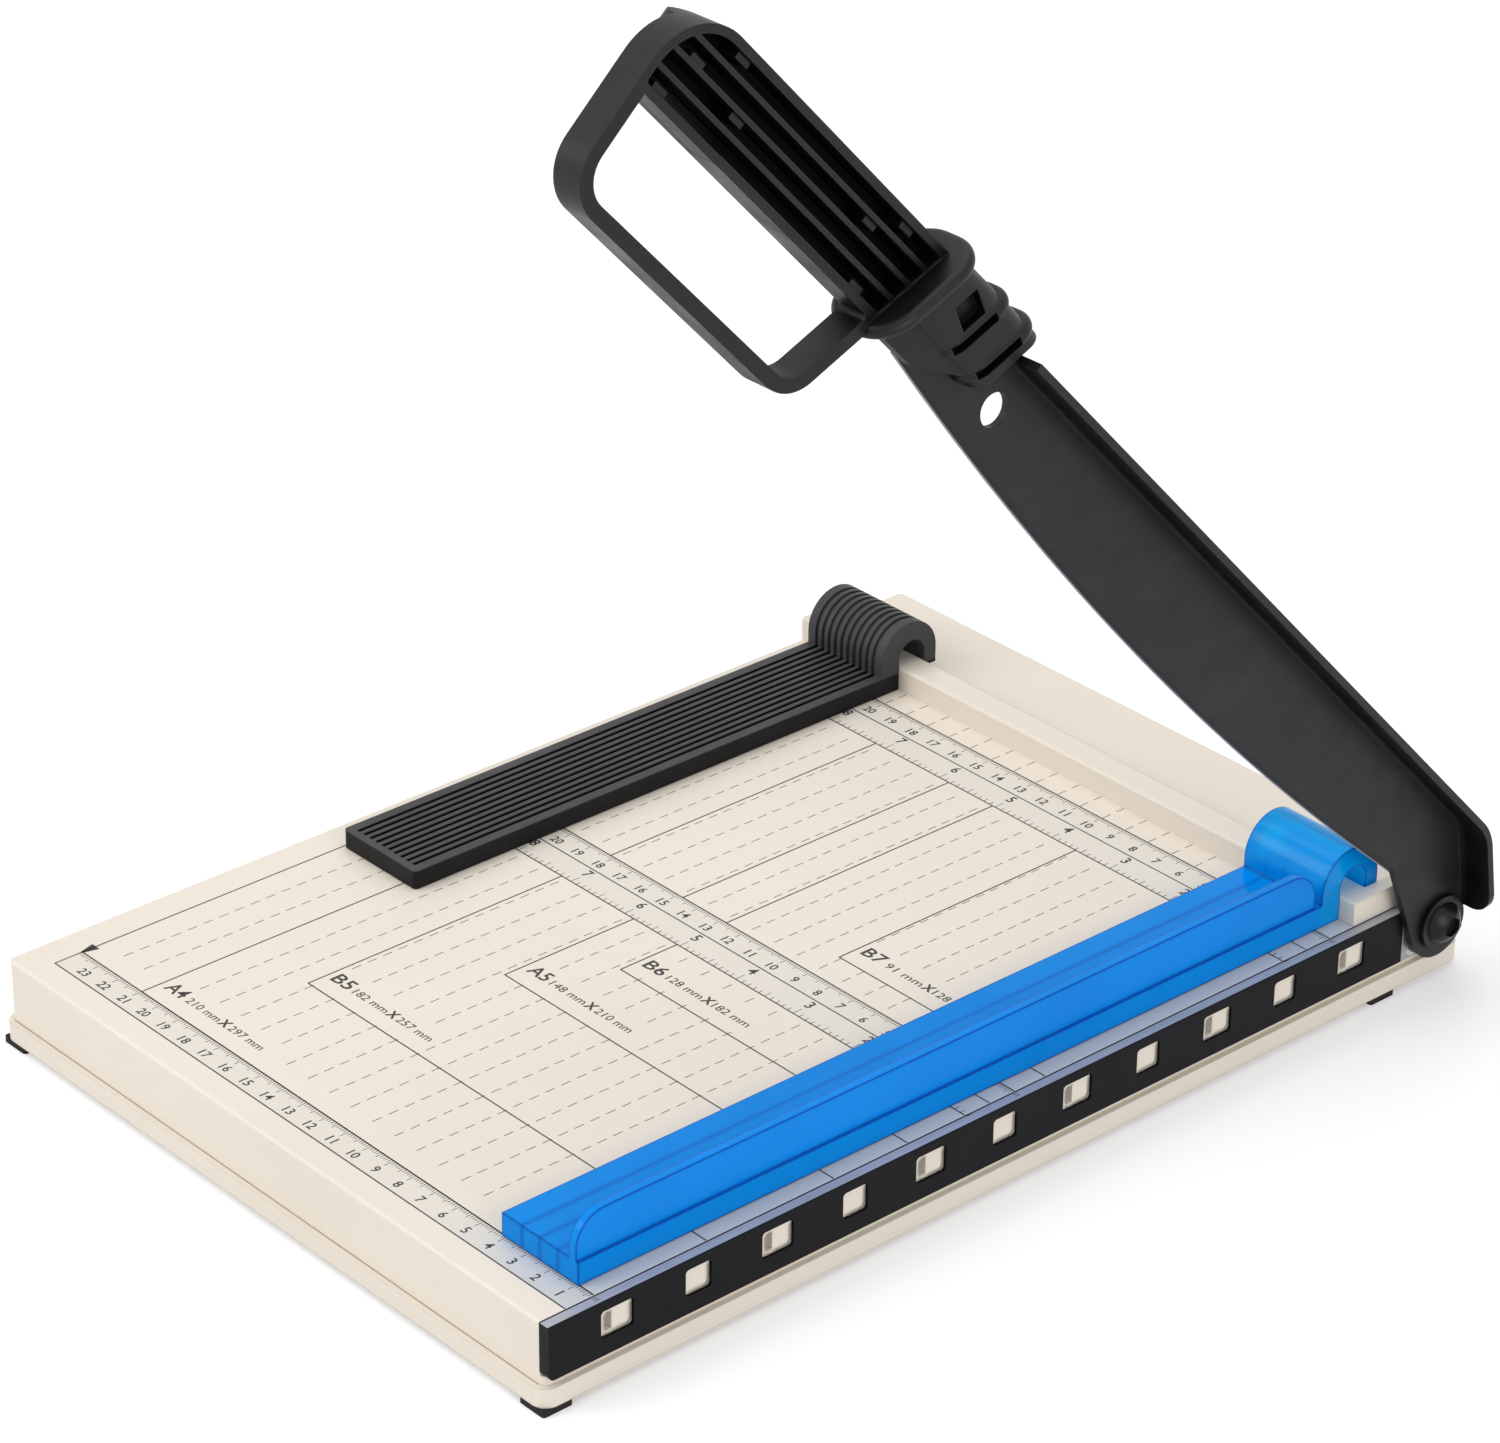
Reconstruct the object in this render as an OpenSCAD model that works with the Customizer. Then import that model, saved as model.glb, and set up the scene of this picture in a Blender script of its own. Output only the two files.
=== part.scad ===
// Paper cutter with a hinged blade arm, a sliding paper stop and a lifting paper clamp.
// Millimetres. X points to the blade side, Y away from the user, Z up. The floor is Z = 0.

/* [Base] */
// Width of the tray over its rim
base_w = 253.6; // [235:0.2:290]
// Depth of the tray over its rim
base_d = 366.6; // [350:0.2:400]
// How far the tray rim stands out past the shell
rim_proud = 1.7; // [0.8:0.1:2.2]
// Height of the tray rim
rim_h = 6.2; // [5.8:0.1:8]
// Height of the rubber feet
foot_h = 2; // [1.6:0.1:4]
// Edge of a square rubber foot
foot_size = 10.5; // [8:0.5:14]
// How far the far feet stand in from the far rim
far_foot_inset = 30; // [16:1:60]
// Height of the shell from the tray to the table
wall_h = 20.6; // [19.5:0.1:26]
// Wall of shell and tray
wall_t = 2.6; // [2:0.1:3]
// Thickness of the table plate
top_t = 3; // [2.4:0.1:3.6]
// Radius of the upright corners of the shell
corner_r = 3; // [2:0.5:5]
// Rounding of the table's near, left and far edges
edge_r = 1; // [0.5:0.1:1.5]

/* [Fence] */
// Depth of the fence from its front face to the far wall
fence_d = 45.4; // [43:0.1:50]
// Width of the rail
rail_w = 9.8; // [9:0.1:12]
// Height of the rail above the table
rail_h = 7.9; // [7.4:0.1:9]
// Rounding of the rail's front top edge
rail_r = 1; // [0.8:0.1:1.6]
// Height of the deck behind the rail above the table
deck_h = 2.4; // [2:0.1:3]
// Thickness of the wall that closes the fence at the blade
end_wall_t = 5; // [4:0.1:6]

/* [Fixed blade] */
// Thickness of the fixed blade
blade_t = 4.1; // [3:0.1:4.5]
// Height of the fixed blade
blade_h = 17.5; // [17.2:0.1:18.6]
// Width of the ledge under the fixed blade
ledge_w = 1.9; // [1:0.1:2.2]
// Number of windows along the fixed blade
window_count = 11; // [7:2:13]
// Height of a window
window_h = 8.8; // [8:0.1:10]
// Width of a window with a snap peg
snap_window_w = 11.6; // [10:0.1:13]
// Width of a window with a plain peg
plain_window_w = 9.4; // [8:0.1:11]
// Centre of the windows below the table
window_drop = 7.5; // [7:0.1:8.4]
// Play between a peg and its window
peg_play = 0.25; // [0.15:0.05:0.5]
// How far the pegs stay below the blade's face
peg_sink = 0.8; // [0.4:0.1:1.5]

/* [Pivot] */
// Pivot axis in front of the far wall
pivot_back = 13.4; // [13:0.1:15]
// Pivot axis below the table
pivot_drop = 7.1; // [6.4:0.1:7.4]
// Length of the bracket in front of the pivot axis
bracket_reach = 13.7; // [13.4:0.1:17]
// Diameter of the pivot bolt
bolt_d = 8; // [6:0.5:8]
// Diameter of the bolt head
bolt_head_d = 13.8; // [13:0.2:16]
// Height of the bolt head
bolt_head_h = 4.4; // [3.6:0.1:5]
// Diameter of the bush the arm turns on
bush_d = 12; // [11:0.5:13]
// Radial play between the arm and the bush
bush_play = 0.05; // [0.02:0.01:0.1]
// Diameter of the washer under the bolt head
head_washer_d = 18.2; // [16:0.2:20]
// Diameter of washer and springs inside the shell
inner_washer_d = 14; // [13.4:0.2:14.6]
// Number of disc springs
spring_count = 4; // [2:1:6]

/* [Arm] */
// Angle of the arm above level at rest
raise = 46.8; // [40:0.1:50]
// Thickness of the arm plate
arm_t = 2.2; // [1.8:0.1:2.6]
// Gap between the arm and the fixed blade
arm_gap = 0.3; // [0.2:0.05:0.5]
// Radius of the arm's tail round the pivot
tail_r = 12.2; // [11.6:0.1:13.4]
// Height of the arm's back above the pivot axis
back_h = 28.3; // [26:0.1:31]
// Radius of the arm's shoulder
shoulder_r = 19; // [16:0.5:22]
// Slope of the rear edge between shoulder and tail
rear_slope = 34.6; // [32:0.1:38]
// Slope of the front edge between tail and heel
heel_slope = 22; // [21:0.1:26]
// Radius of the curved cutting edge
edge_curve_r = 1330; // [1200:10:1800]
// Lowest point of the cutting edge below the pivot axis
edge_low = 6.6; // [5.6:0.1:7.4]
// Width of the ground bevel
bevel_w = 1.6; // [1:0.1:2.4]
// Width of the bent flange
flange_w = 13.9; // [12.5:0.1:15]
// Inner radius of the flange bend
bend_r = 1.2; // [0.8:0.1:1.8]
// Radius of the flange's free corner
flange_corner_r = 8; // [4:0.5:10]
// Diameter of the hang hole
hang_d = 10; // [7:0.1:10.5]

/* [Handle] */
// Distance of the handle collar past the near rim
handle_out = 15; // [14:0.5:22]
// Width of the guard band
band_w = 10.1; // [9:0.1:12]
// Thickness of the guard band
band_t = 4.2; // [3.4:0.1:5]
// Length of the guard past the collar
guard_l = 114.2; // [104:0.2:124]
// Depth of the guard below the pivot line
guard_low = 24.8; // [22:0.1:25.4]
// Underside of the grip above the pivot line
grip_low = 6.4; // [5:0.1:9]
// Top of the grip above the pivot line
grip_high = 33.4; // [31:0.1:36]
// Number of ribs in the grip trough
rib_count = 3; // [2:1:4]
// Thickness of a rib
rib_t = 1.5; // [1:0.1:1.8]
// Bulge of the grip behind the guard band
bulge = 8.5; // [6:0.1:9.4]
// Lean of collar and neck rings
tilt = 20; // [16:0.5:24]
// Width of the collar
collar_w = 27.8; // [25:0.1:30]
// Height of the collar
collar_h = 39.7; // [37:0.1:42]
// Thickness of the collar
collar_t = 4.5; // [3.6:0.1:5]
// Width of the neck
neck_w = 15.4; // [14:0.1:17]

/* [Paper stop] */
// Width of the stop
stop_w = 35.4; // [30:0.2:44]
// Length of the stop in front of the fence
stop_l = 201; // [150:1:260]
// Thickness of the stop
stop_t = 6.2; // [5:0.1:7]
// Stop's left edge in from the shell's left wall
stop_inset = 12; // [6:0.5:80]
// Number of grooves along the stop
groove_count = 10; // [6:1:12]
// Depth of a groove
groove_d = 0.9; // [0.5:0.1:1.2]

/* [Paper clamp] */
// Width of the clamp
clamp_w = 32.4; // [27:0.2:36]
// Clamp's near end in from the near wall
clamp_inset = 18.5; // [10:0.5:40]
// Clamp's right edge in from the cutting line
clamp_gap = 5.8; // [4:0.1:8]
// Height of the clamp's tray
clamp_t = 7.4; // [6.5:0.1:9]
// Wall of the clamp's tray
clamp_wall = 1.8; // [1.4:0.1:2.4]
// Thickness of the clamp's fin
fin_t = 3; // [2.2:0.1:3.6]
// Height of the fin's top above the table
fin_h = 21.2; // [18:0.2:22.6]

/* [Hook of stop and clamp] */
// Thickness of the hook's near leg
near_leg = 7.8; // [6:0.1:8.4]
// Thickness of the hook's far leg
far_leg = 5; // [4.4:0.1:6.4]
// Play between the near leg and the rail
near_play = 0.4; // [0.3:0.05:0.6]
// Play between the far leg and the rail
far_play = 1.2; // [1.1:0.05:1.6]
// Height of the hook's top above the table
hook_h = 23.2; // [22.6:0.1:25]
// Height of the tunnel's top above the table
tunnel_h = 16.3; // [15.8:0.1:17]
// Far leg's end above the table
far_leg_end = 5.2; // [5:0.1:5.8]
// Gap under stop and clamp
slide_gap = 0.3; // [0.2:0.05:0.4]

/* [Hidden] */
$fn = 64;
cream = [0.91, 0.87, 0.81];
black = [0.14, 0.14, 0.15];
rubber = [0.08, 0.08, 0.08];
dark_steel = [0.2, 0.2, 0.22];
grey_steel = [0.5, 0.5, 0.52];
bright_steel = [0.75, 0.75, 0.76];
blue = [0.05, 0.5, 0.9, 0.7];
nylon = [0.3, 0.45, 0.75];

// Base lines of the shared frame
arm_out = max(flange_w, (arm_t + collar_w) / 2);
overhang = blade_t + arm_gap + arm_out - rim_proud - ledge_w;
tray_x0 = -(base_w + overhang) / 2;
tray_x1 = tray_x0 + base_w;
tray_y0 = -base_d / 2;
tray_y1 = base_d / 2;
body_x0 = tray_x0 + rim_proud;
body_x1 = tray_x1 - rim_proud;
body_y0 = tray_y0 + rim_proud;
body_y1 = tray_y1 - rim_proud;
seam_z = foot_h + rim_h;
table_z = seam_z + wall_h;
recess_x = body_x1 - ledge_w;
ledge_z = table_z - blade_h;
fence_y = body_y1 - fence_d;
rail_back_y = fence_y + rail_w;
pivot_y = body_y1 - pivot_back;
pivot_z = table_z - pivot_drop;
blade_face_x = recess_x + blade_t;
bracket_y = pivot_y - bracket_reach;
arm_x = blade_face_x + arm_gap;
slop = 1;

// Ribs under the table
under_rib_t = 1.8;
under_rib_h = 8;
under_rib_count = 3;

// Screws of the base
boss_r = 4;
tray_floor = 2.4;
tray_boss_h = 5;
screw_r = 1.5;
screw_play = 0.05;
screw_hole_r = 1.7;
screw_head_r = 2.9;
screw_head_h = 1.8;
screw_head_play = 0.4;
screw_recess_share = 0.6;
screw_sink = 2.2;
screw_end_gap = 0.6;
screw_l = table_z - top_t - under_rib_h - foot_h - screw_sink - screw_end_gap;
boss_in = 14;
boss_xs = [body_x0 + boss_in, recess_x - boss_in];
boss_ys = [body_y0 + boss_in, (body_y0 + fence_y) / 2, fence_y - boss_in];

// Windows of the fixed blade
window_near = 24;
window_far = 22.8;
window_pitch = (bracket_y - body_y0 - window_near - window_far) / (window_count - 1);
window_r = 1.2;
notch_w = 2;
notch_h = 5.5;
blade_corner_r = 2;
bracket_corner_r = 3;

// Bracket screws, placed from the pivot axis
bracket_screw_ys = [-8.6, 7.6];
bracket_screw_r = 1.5;
bracket_head_r = 2.8;
bracket_head_h = 1.6;
bracket_nut_h = 2.4;
bracket_nut_r = 3.15;
bracket_hole_play = 0.15;
bracket_screw_tail = 0.8;
bracket_head_lap = 0.2;
bracket_head_edge = 0.35;
bracket_screw_drop = blade_h - pivot_drop - bracket_head_r - bracket_head_edge;

// Pivot stack along X
run_gap = 0.3;
washer_t = 1.5;
bush_end_x = arm_x + arm_t + run_gap;
head_x = bush_end_x + washer_t;
bolt_play = 0.1;
socket_r = 3.4;
socket_depth = 2.6;
shell_inner_x = recess_x - wall_t;
pocket_play = 0.5;
pocket_r = inner_washer_d / 2 + pocket_play;
pocket_l = 26;
spring_t = 0.8;
spring_rise = 0.4;
spring_pitch = spring_t + spring_rise;
spring_x = shell_inner_x - washer_t;
nut_x = spring_x - spring_count * spring_pitch;
nut_h = 6;
nut_r = 7.5;
insert_h = 1.6;
insert_r = 6;
insert_wall = 0.6;
bolt_tail = 1.5;
bolt_end_x = nut_x - nut_h - insert_h - bolt_tail;

// Arm outline, drawn level with the pivot at the origin and pointing to -Y
bend_out = bend_r + arm_t;
shoulder_steps = 8;
rear_out = [sin(rear_slope), cos(rear_slope)];
flange_tip = tail_r * rear_out + slop * [-cos(rear_slope), sin(rear_slope)];
near_reach = pivot_y - tray_y0;
collar_s = near_reach + handle_out;
arm_end_back = 19;
flange_end_back = 55.1;
hang_back = 62.8;
arm_end_s = collar_s - arm_end_back;
flange_end_s = collar_s - flange_end_back;
hang_s = collar_s - hang_back;
hang_n = 13.7;
shoulder_n = back_h - shoulder_r;
shoulder_s = (shoulder_r - tail_r + cos(rear_slope) * shoulder_n) / sin(rear_slope);
rear_l = shoulder_s * cos(rear_slope) + shoulder_n * sin(rear_slope);
edge_low_share = 0.4595;
edge_s = collar_s * edge_low_share;
edge_n = edge_curve_r - edge_low;
heel_from = tail_r * [sin(heel_slope), -cos(heel_slope)];
heel_way = [cos(heel_slope), sin(heel_slope)];
heel_off = heel_from - [edge_s, edge_n];
heel_mid = heel_way * heel_off;
heel_t = -heel_mid - sqrt(heel_mid * heel_mid - heel_off * heel_off + edge_curve_r * edge_curve_r);
heel = heel_from + heel_t * heel_way;
heel_lap = 4;
heel_in = heel + heel_lap * heel_way;
edge_land = 0.4;
bore_r = bush_d / 2 + bush_play;

// Handle, measured from the collar
grip_mid_x = arm_t / 2;
band_x0 = grip_mid_x - band_w / 2;
band_x1 = grip_mid_x + band_w / 2;
guard_end_s = collar_s + guard_l;
top_far_r = 20;
low_r = 13.4;
open_low_r = 9;
open_top_r = 1.5;
grip_wall = 2.5;
trough_floor_t = 2.1;
trough_floor_x = band_x0 + trough_floor_t;
trough_start = 0.6;
sharp_r = 0.5;
grip_mid_n = (grip_low + grip_high) / 2;
bulge_half = (grip_high - grip_low) / 2;
bulge_r = (bulge_half * bulge_half + bulge * bulge) / (2 * bulge);
bulge_end_r = 8.4;
bulge_end_gap = 7;
collar_r = 11.8;
collar_mid_n = 20.5;
neck_low = 12.6;
neck_high = 35.8;
neck_r = 5.3;
neck_l = 42.4;
ring_offsets = neck_l * [0.576, 0.882];
ring_proud = 1.9;
ring_w = neck_w + ring_proud;
ring_h = 27.7;
ring_t = 5.3;
ring_mid_n = 24.7;
ring_r = 7.5;
slot_t = 2.8;
slot_h = 16;
slot_depth = 3.4;
slot_drop = 8.8;
tang_play = 0.1;
tang_top = back_h - bend_out;
pocket_edge = 8.4;
pocket_depth = 3;
pocket_offset = 26;
pocket_n = 26;
gusset_t = 4.2;
gusset_drop = 1.2;
gusset_rise = 1.3;
gusset_offsets = [21.8, 28.3, 42];
handle_screw_offsets = neck_l * [0.576, 0.935];
handle_screw_n = 18.1;
handle_screw_l = 12;
handle_screw_spare = 0.3;
handle_head_sink = 0.6;
handle_head_x = grip_mid_x - neck_w / 2 + handle_head_sink;

// Hook profile, shared by stop and clamp
tunnel_y0 = fence_y - near_play;
tunnel_y1 = rail_back_y + far_play;
tunnel_r = (tunnel_y1 - tunnel_y0) / 2;
tunnel_y = (tunnel_y0 + tunnel_y1) / 2;
tunnel_z = table_z + tunnel_h - tunnel_r;
hook_y0 = tunnel_y0 - near_leg;
hook_y1 = tunnel_y1 + far_leg;
hook_r = (hook_y1 - hook_y0) / 2;
hook_y = (hook_y0 + hook_y1) / 2;
hook_z = table_z + hook_h - hook_r;
slide_z = table_z + slide_gap;
leg_end_z = table_z + far_leg_end;

// Stop and clamp lines
stop_x = body_x0 + stop_inset;
stop_y = fence_y - stop_l;
groove_border = 2.6;
groove_pitch = (stop_w - 2 * groove_border) / groove_count;
groove_share = 0.5;
groove_w = groove_pitch * groove_share;
stop_corner_r = 1.5;
clamp_x1 = recess_x - clamp_gap;
clamp_x0 = clamp_x1 - clamp_w;
clamp_y = body_y0 + clamp_inset;
clamp_rib_count = 3;
clamp_rib_t = 1.4;
fin_inset = 0.8;
fin_r = 10;
fin_far_gap = 2.4;

// Shared shapes

module rounded_square(w, d, r) {
    translate([r, 0]) square([w - 2 * r, d]);
    translate([0, r]) square([w, d - 2 * r]);
    for (x = [r, w - r], y = [r, d - r]) {
        translate([x, y]) circle(r);
    }
}

// The corner left outside a quarter circle, for rounding an edge
module corner_waste(r) {
    difference() {
        translate([-slop, -slop]) square(r + slop);
        translate([r, r]) circle(r);
    }
}

// Points of an arc round a centre
function arc(centre, r, from, to, steps) =
    [for (k = [0 : steps]) let (a = from + (to - from) * k / steps) centre + r * [cos(a), sin(a)]];

// The same corner with flat facets that run out past both sides
module corner_facets(r) {
    steps = 8;
    points = arc([r, r], r, 185, 265, steps);
    first = points[0] + (points[0] - points[1]) * steps / 2;
    last = points[steps] + (points[steps] - points[steps - 1]) * steps / 2;
    polygon(concat(
        [[-r, -r], [last.x, -r], last],
        [for (k = [steps : -1 : 0]) points[k]],
        [first, [-r, first.y]]
    ));
}

// Extrudes a sketch of (Y, Z) along X
module side(x0, x1) {
    translate([x0, 0, 0]) rotate([90, 0, 90]) linear_extrude(x1 - x0) children();
}

// Extrudes a sketch of (Z, X) along Y
module along_y(y0, y1) {
    translate([0, y0, 0]) rotate([90, 0, 90]) rotate([90, 0, 90]) linear_extrude(y1 - y0) children();
}

module disc_x(r, x0, x1) {
    translate([x0, 0, 0]) rotate([0, 90, 0]) cylinder(r = r, h = x1 - x0);
}

module hex_x(r, x0, x1) {
    translate([x0, 0, 0]) rotate([0, 90, 0]) cylinder(r = r, h = x1 - x0, $fn = 6);
}

module ring_x(r_out, r_in, x0, x1) {
    difference() {
        disc_x(r_out, x0, x1);
        disc_x(r_in, x0 - slop, x1 + slop);
    }
}

module cross_recess(r, depth) {
    for (turn = [0, 90]) {
        rotate([0, 0, turn]) translate([-r, -r / 5, -slop]) cube([2 * r, r / 2.5, depth + slop]);
    }
}

// Plate in the XZ plane with a fully rounded edge
module pillow_plate(w, h, r, t) {
    core_r = r - t / 2;
    rotate([90, 0, 0]) translate([-w / 2 + t / 2, -h / 2 + t / 2, -t / 2]) {
        linear_extrude(t) rounded_square(w - t, h - t, core_r);
    }
    for (side_x = [-1, 1], side_z = [-1, 1]) {
        translate([side_x * (w / 2 - r), 0, side_z * (h / 2 - r)]) rotate([90, 0, 0]) {
            rotate_extrude() intersection() {
                translate([core_r, 0]) circle(t / 2);
                translate([0, -t]) square([r + t, 2 * t]);
            }
        }
    }
    for (side_x = [-1, 1]) {
        translate([side_x * (w - t) / 2, 0, -h / 2 + r]) cylinder(r = t / 2, h = h - 2 * r);
    }
    for (side_z = [-1, 1]) {
        translate([-w / 2 + r, 0, side_z * (h - t) / 2]) rotate([0, 90, 0]) {
            cylinder(r = t / 2, h = w - 2 * r);
        }
    }
}

module screw_recess() {
    cross_recess(screw_head_r * screw_recess_share, screw_head_h * screw_recess_share);
}

module at_pivot() {
    translate([0, pivot_y, pivot_z]) children();
}

module at_arm() {
    translate([arm_x, pivot_y, pivot_z]) rotate([-raise, 0, 0]) children();
}

// Base

module shell_plan() {
    translate([body_x0, body_y0]) rounded_square(body_x1 - body_x0, body_y1 - body_y0, corner_r);
}

module fence_profile() {
    difference() {
        translate([fence_y, table_z - slop]) square([rail_w, rail_h + slop]);
        translate([fence_y, table_z + rail_h]) mirror([0, 1]) corner_waste(rail_r);
    }
    translate([rail_back_y - slop, table_z - slop]) square([body_y1 - rail_back_y + slop, deck_h + slop]);
}

module shell_solid() {
    intersection() {
        union() {
            translate([0, 0, seam_z]) linear_extrude(wall_h) shell_plan();
            side(body_x0, recess_x) fence_profile();
            translate([recess_x - end_wall_t, rail_back_y - slop, table_z]) {
                cube([end_wall_t, body_y1 - rail_back_y + slop, rail_h]);
            }
        }
        translate([0, 0, seam_z]) linear_extrude(wall_h + rail_h + slop) shell_plan();
    }
}

module shell_hollow() {
    inner_x = body_x0 + wall_t;
    inner_w = shell_inner_x - inner_x;
    inner_y = body_y0 + wall_t;
    translate([inner_x, inner_y, seam_z - slop]) {
        cube([inner_w, fence_y + wall_t - inner_y + slop, wall_h - top_t + slop]);
    }
    translate([inner_x, fence_y + wall_t, seam_z - slop]) {
        cube([inner_w, body_y1 - wall_t - fence_y - wall_t, wall_h + deck_h - top_t + slop]);
    }
    translate([inner_x, fence_y + wall_t, table_z - top_t]) {
        cube([recess_x - end_wall_t - inner_x, rail_w - 2 * wall_t, top_t + rail_h - wall_t]);
    }
    at_pivot() disc_x(pocket_r, shell_inner_x - pocket_l, shell_inner_x);
}

module edge_rounding() {
    translate([0, body_y0, table_z]) rotate([90, 0, 90]) {
        translate([0, 0, body_x0 - slop]) linear_extrude(recess_x - body_x0 + 2 * slop) {
            mirror([0, 1]) corner_waste(edge_r);
        }
    }
    translate([body_x0, fence_y, table_z]) rotate([90, 0, 0]) {
        linear_extrude(fence_y - body_y0 + slop) mirror([0, 1]) corner_waste(edge_r);
    }
    translate([0, body_y1, table_z + deck_h]) side(body_x0 - slop, recess_x - end_wall_t) {
        mirror([1, 0]) mirror([0, 1]) corner_waste(edge_r);
    }
}

module blade_recess() {
    translate([recess_x, body_y0 - slop, ledge_z]) {
        cube([blade_t + slop, body_y1 - body_y0 + 2 * slop, blade_h + rail_h + slop]);
    }
}

module boss_places() {
    for (x = boss_xs, y = boss_ys) {
        translate([x, y, foot_h]) children();
    }
}

module shell_bosses() {
    boss_places() {
        translate([0, 0, tray_boss_h]) difference() {
            cylinder(r = boss_r, h = table_z - top_t / 2 - foot_h - tray_boss_h);
            translate([0, 0, -slop]) cylinder(r = screw_r + screw_play, h = screw_l + slop);
        }
    }
}

module under_ribs() {
    rib_z = table_z - top_t - under_rib_h;
    span_y = fence_y - body_y0;
    span_x = shell_inner_x - body_x0;
    for (k = [1 : under_rib_count]) {
        translate([body_x0 + k * span_x / (under_rib_count + 1), body_y0 + wall_t / 2, rib_z]) {
            cube([under_rib_t, span_y, under_rib_h + top_t / 2]);
        }
        translate([body_x0 + wall_t / 2, body_y0 + k * span_y / (under_rib_count + 1), rib_z]) {
            cube([span_x, under_rib_t, under_rib_h + top_t / 2]);
        }
    }
}

function window_y(k) = body_y0 + window_near + k * window_pitch;
function window_w(k) = k % 2 == 0 ? snap_window_w : plain_window_w;

module pegs() {
    peg_h = window_h - 2 * peg_play;
    peg_l = blade_t - peg_sink;
    for (k = [0 : window_count - 1]) {
        peg_w = window_w(k) - 2 * peg_play;
        translate([recess_x, window_y(k) - peg_w / 2, table_z - window_drop - peg_h / 2]) difference() {
            side(-slop, peg_l) rounded_square(peg_w, peg_h, window_r);
            if (k % 2 == 0) {
                translate([0, notch_w, (peg_h - notch_h) / 2]) cube([peg_l + slop, notch_w, notch_h]);
            }
        }
    }
}

module bracket_screw_places() {
    for (y = bracket_screw_ys) {
        translate([0, pivot_y + y, pivot_z - bracket_screw_drop]) children();
    }
}

module table_shell() color(cream) {
    difference() {
        shell_solid();
        shell_hollow();
        edge_rounding();
        blade_recess();
        at_pivot() disc_x(bolt_d / 2 + bolt_play, shell_inner_x - slop, recess_x + slop);
        bracket_screw_places() {
            disc_x(bracket_screw_r + bracket_hole_play, shell_inner_x - slop, recess_x + slop);
        }
    }
    shell_bosses();
    under_ribs();
    pegs();
}

module base_tray() color(cream) {
    inset = rim_proud + wall_t;
    difference() {
        union() {
            difference() {
                translate([tray_x0, tray_y0, foot_h]) linear_extrude(rim_h) {
                    rounded_square(base_w, base_d, corner_r + rim_proud);
                }
                translate([tray_x0 + inset, tray_y0 + inset, foot_h + tray_floor]) {
                    cube([base_w - 2 * inset, base_d - 2 * inset, rim_h]);
                }
            }
            boss_places() cylinder(r = boss_r + slop, h = tray_boss_h);
        }
        boss_places() {
            translate([0, 0, -slop]) cylinder(r = screw_hole_r, h = tray_boss_h + 2 * slop);
            translate([0, 0, -slop]) cylinder(r = screw_head_r + screw_head_play, h = screw_sink + slop);
        }
    }
}

module rubber_feet() color(rubber) {
    for (x = [tray_x0, tray_x1 - foot_size], y = [tray_y0, tray_y1 - far_foot_inset - foot_size]) {
        translate([x, y, 0]) linear_extrude(foot_h) rounded_square(foot_size, foot_size, slop);
    }
}

module base_screws() color(bright_steel) {
    boss_places() {
        difference() {
            translate([0, 0, screw_sink - screw_head_h]) cylinder(r = screw_head_r, h = screw_head_h);
            translate([0, 0, screw_sink - screw_head_h]) screw_recess();
        }
        translate([0, 0, screw_sink]) cylinder(r = screw_r, h = screw_l);
    }
}

module fixed_blade() color(dark_steel) {
    difference() {
        translate([recess_x, body_y0, ledge_z]) cube([blade_t, bracket_y - body_y0, blade_h]);
        translate([0, body_y0, ledge_z]) side(recess_x - slop, blade_face_x + slop) {
            corner_waste(blade_corner_r);
        }
        for (k = [0 : window_count - 1]) {
            side(recess_x - slop, blade_face_x + slop) {
                translate([window_y(k) - window_w(k) / 2, table_z - window_drop - window_h / 2]) {
                    rounded_square(window_w(k), window_h, window_r);
                }
            }
        }
    }
}

module pivot_bracket() color(grey_steel) {
    bracket_l = body_y1 - bracket_y;
    difference() {
        side(recess_x, blade_face_x) {
            translate([bracket_y, ledge_z]) square([bracket_l - bracket_corner_r, blade_h]);
            translate([bracket_y, ledge_z]) rounded_square(bracket_l, blade_h, bracket_corner_r);
        }
        at_pivot() disc_x(bolt_d / 2 + bolt_play, recess_x - slop, blade_face_x + slop);
        bracket_screw_places() {
            disc_x(bracket_screw_r + bracket_hole_play, recess_x - slop, blade_face_x + slop);
            translate([blade_face_x - bracket_head_h, 0, 0]) rotate([0, 90, 0]) {
                cylinder(r1 = bracket_screw_r, r2 = bracket_head_r, h = bracket_head_h);
            }
        }
    }
}

module bracket_screws() color(bright_steel) {
    tail_x = shell_inner_x - bracket_nut_h - bracket_screw_tail;
    bracket_screw_places() {
        difference() {
            union() {
                disc_x(bracket_screw_r, tail_x, blade_face_x - bracket_head_h + bracket_head_lap);
                translate([blade_face_x - bracket_head_h, 0, 0]) rotate([0, 90, 0]) {
                    cylinder(r1 = bracket_screw_r, r2 = bracket_head_r, h = bracket_head_h);
                }
            }
            translate([blade_face_x, 0, 0]) rotate([0, -90, 0]) cross_recess(bracket_screw_r, slop);
        }
    }
}

module bracket_nuts() color(bright_steel) {
    bracket_screw_places() {
        difference() {
            hex_x(bracket_nut_r, shell_inner_x - bracket_nut_h, shell_inner_x);
            disc_x(bracket_screw_r + screw_play, shell_inner_x - bracket_nut_h - slop, shell_inner_x + slop);
        }
    }
}

// Pivot stack

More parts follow.
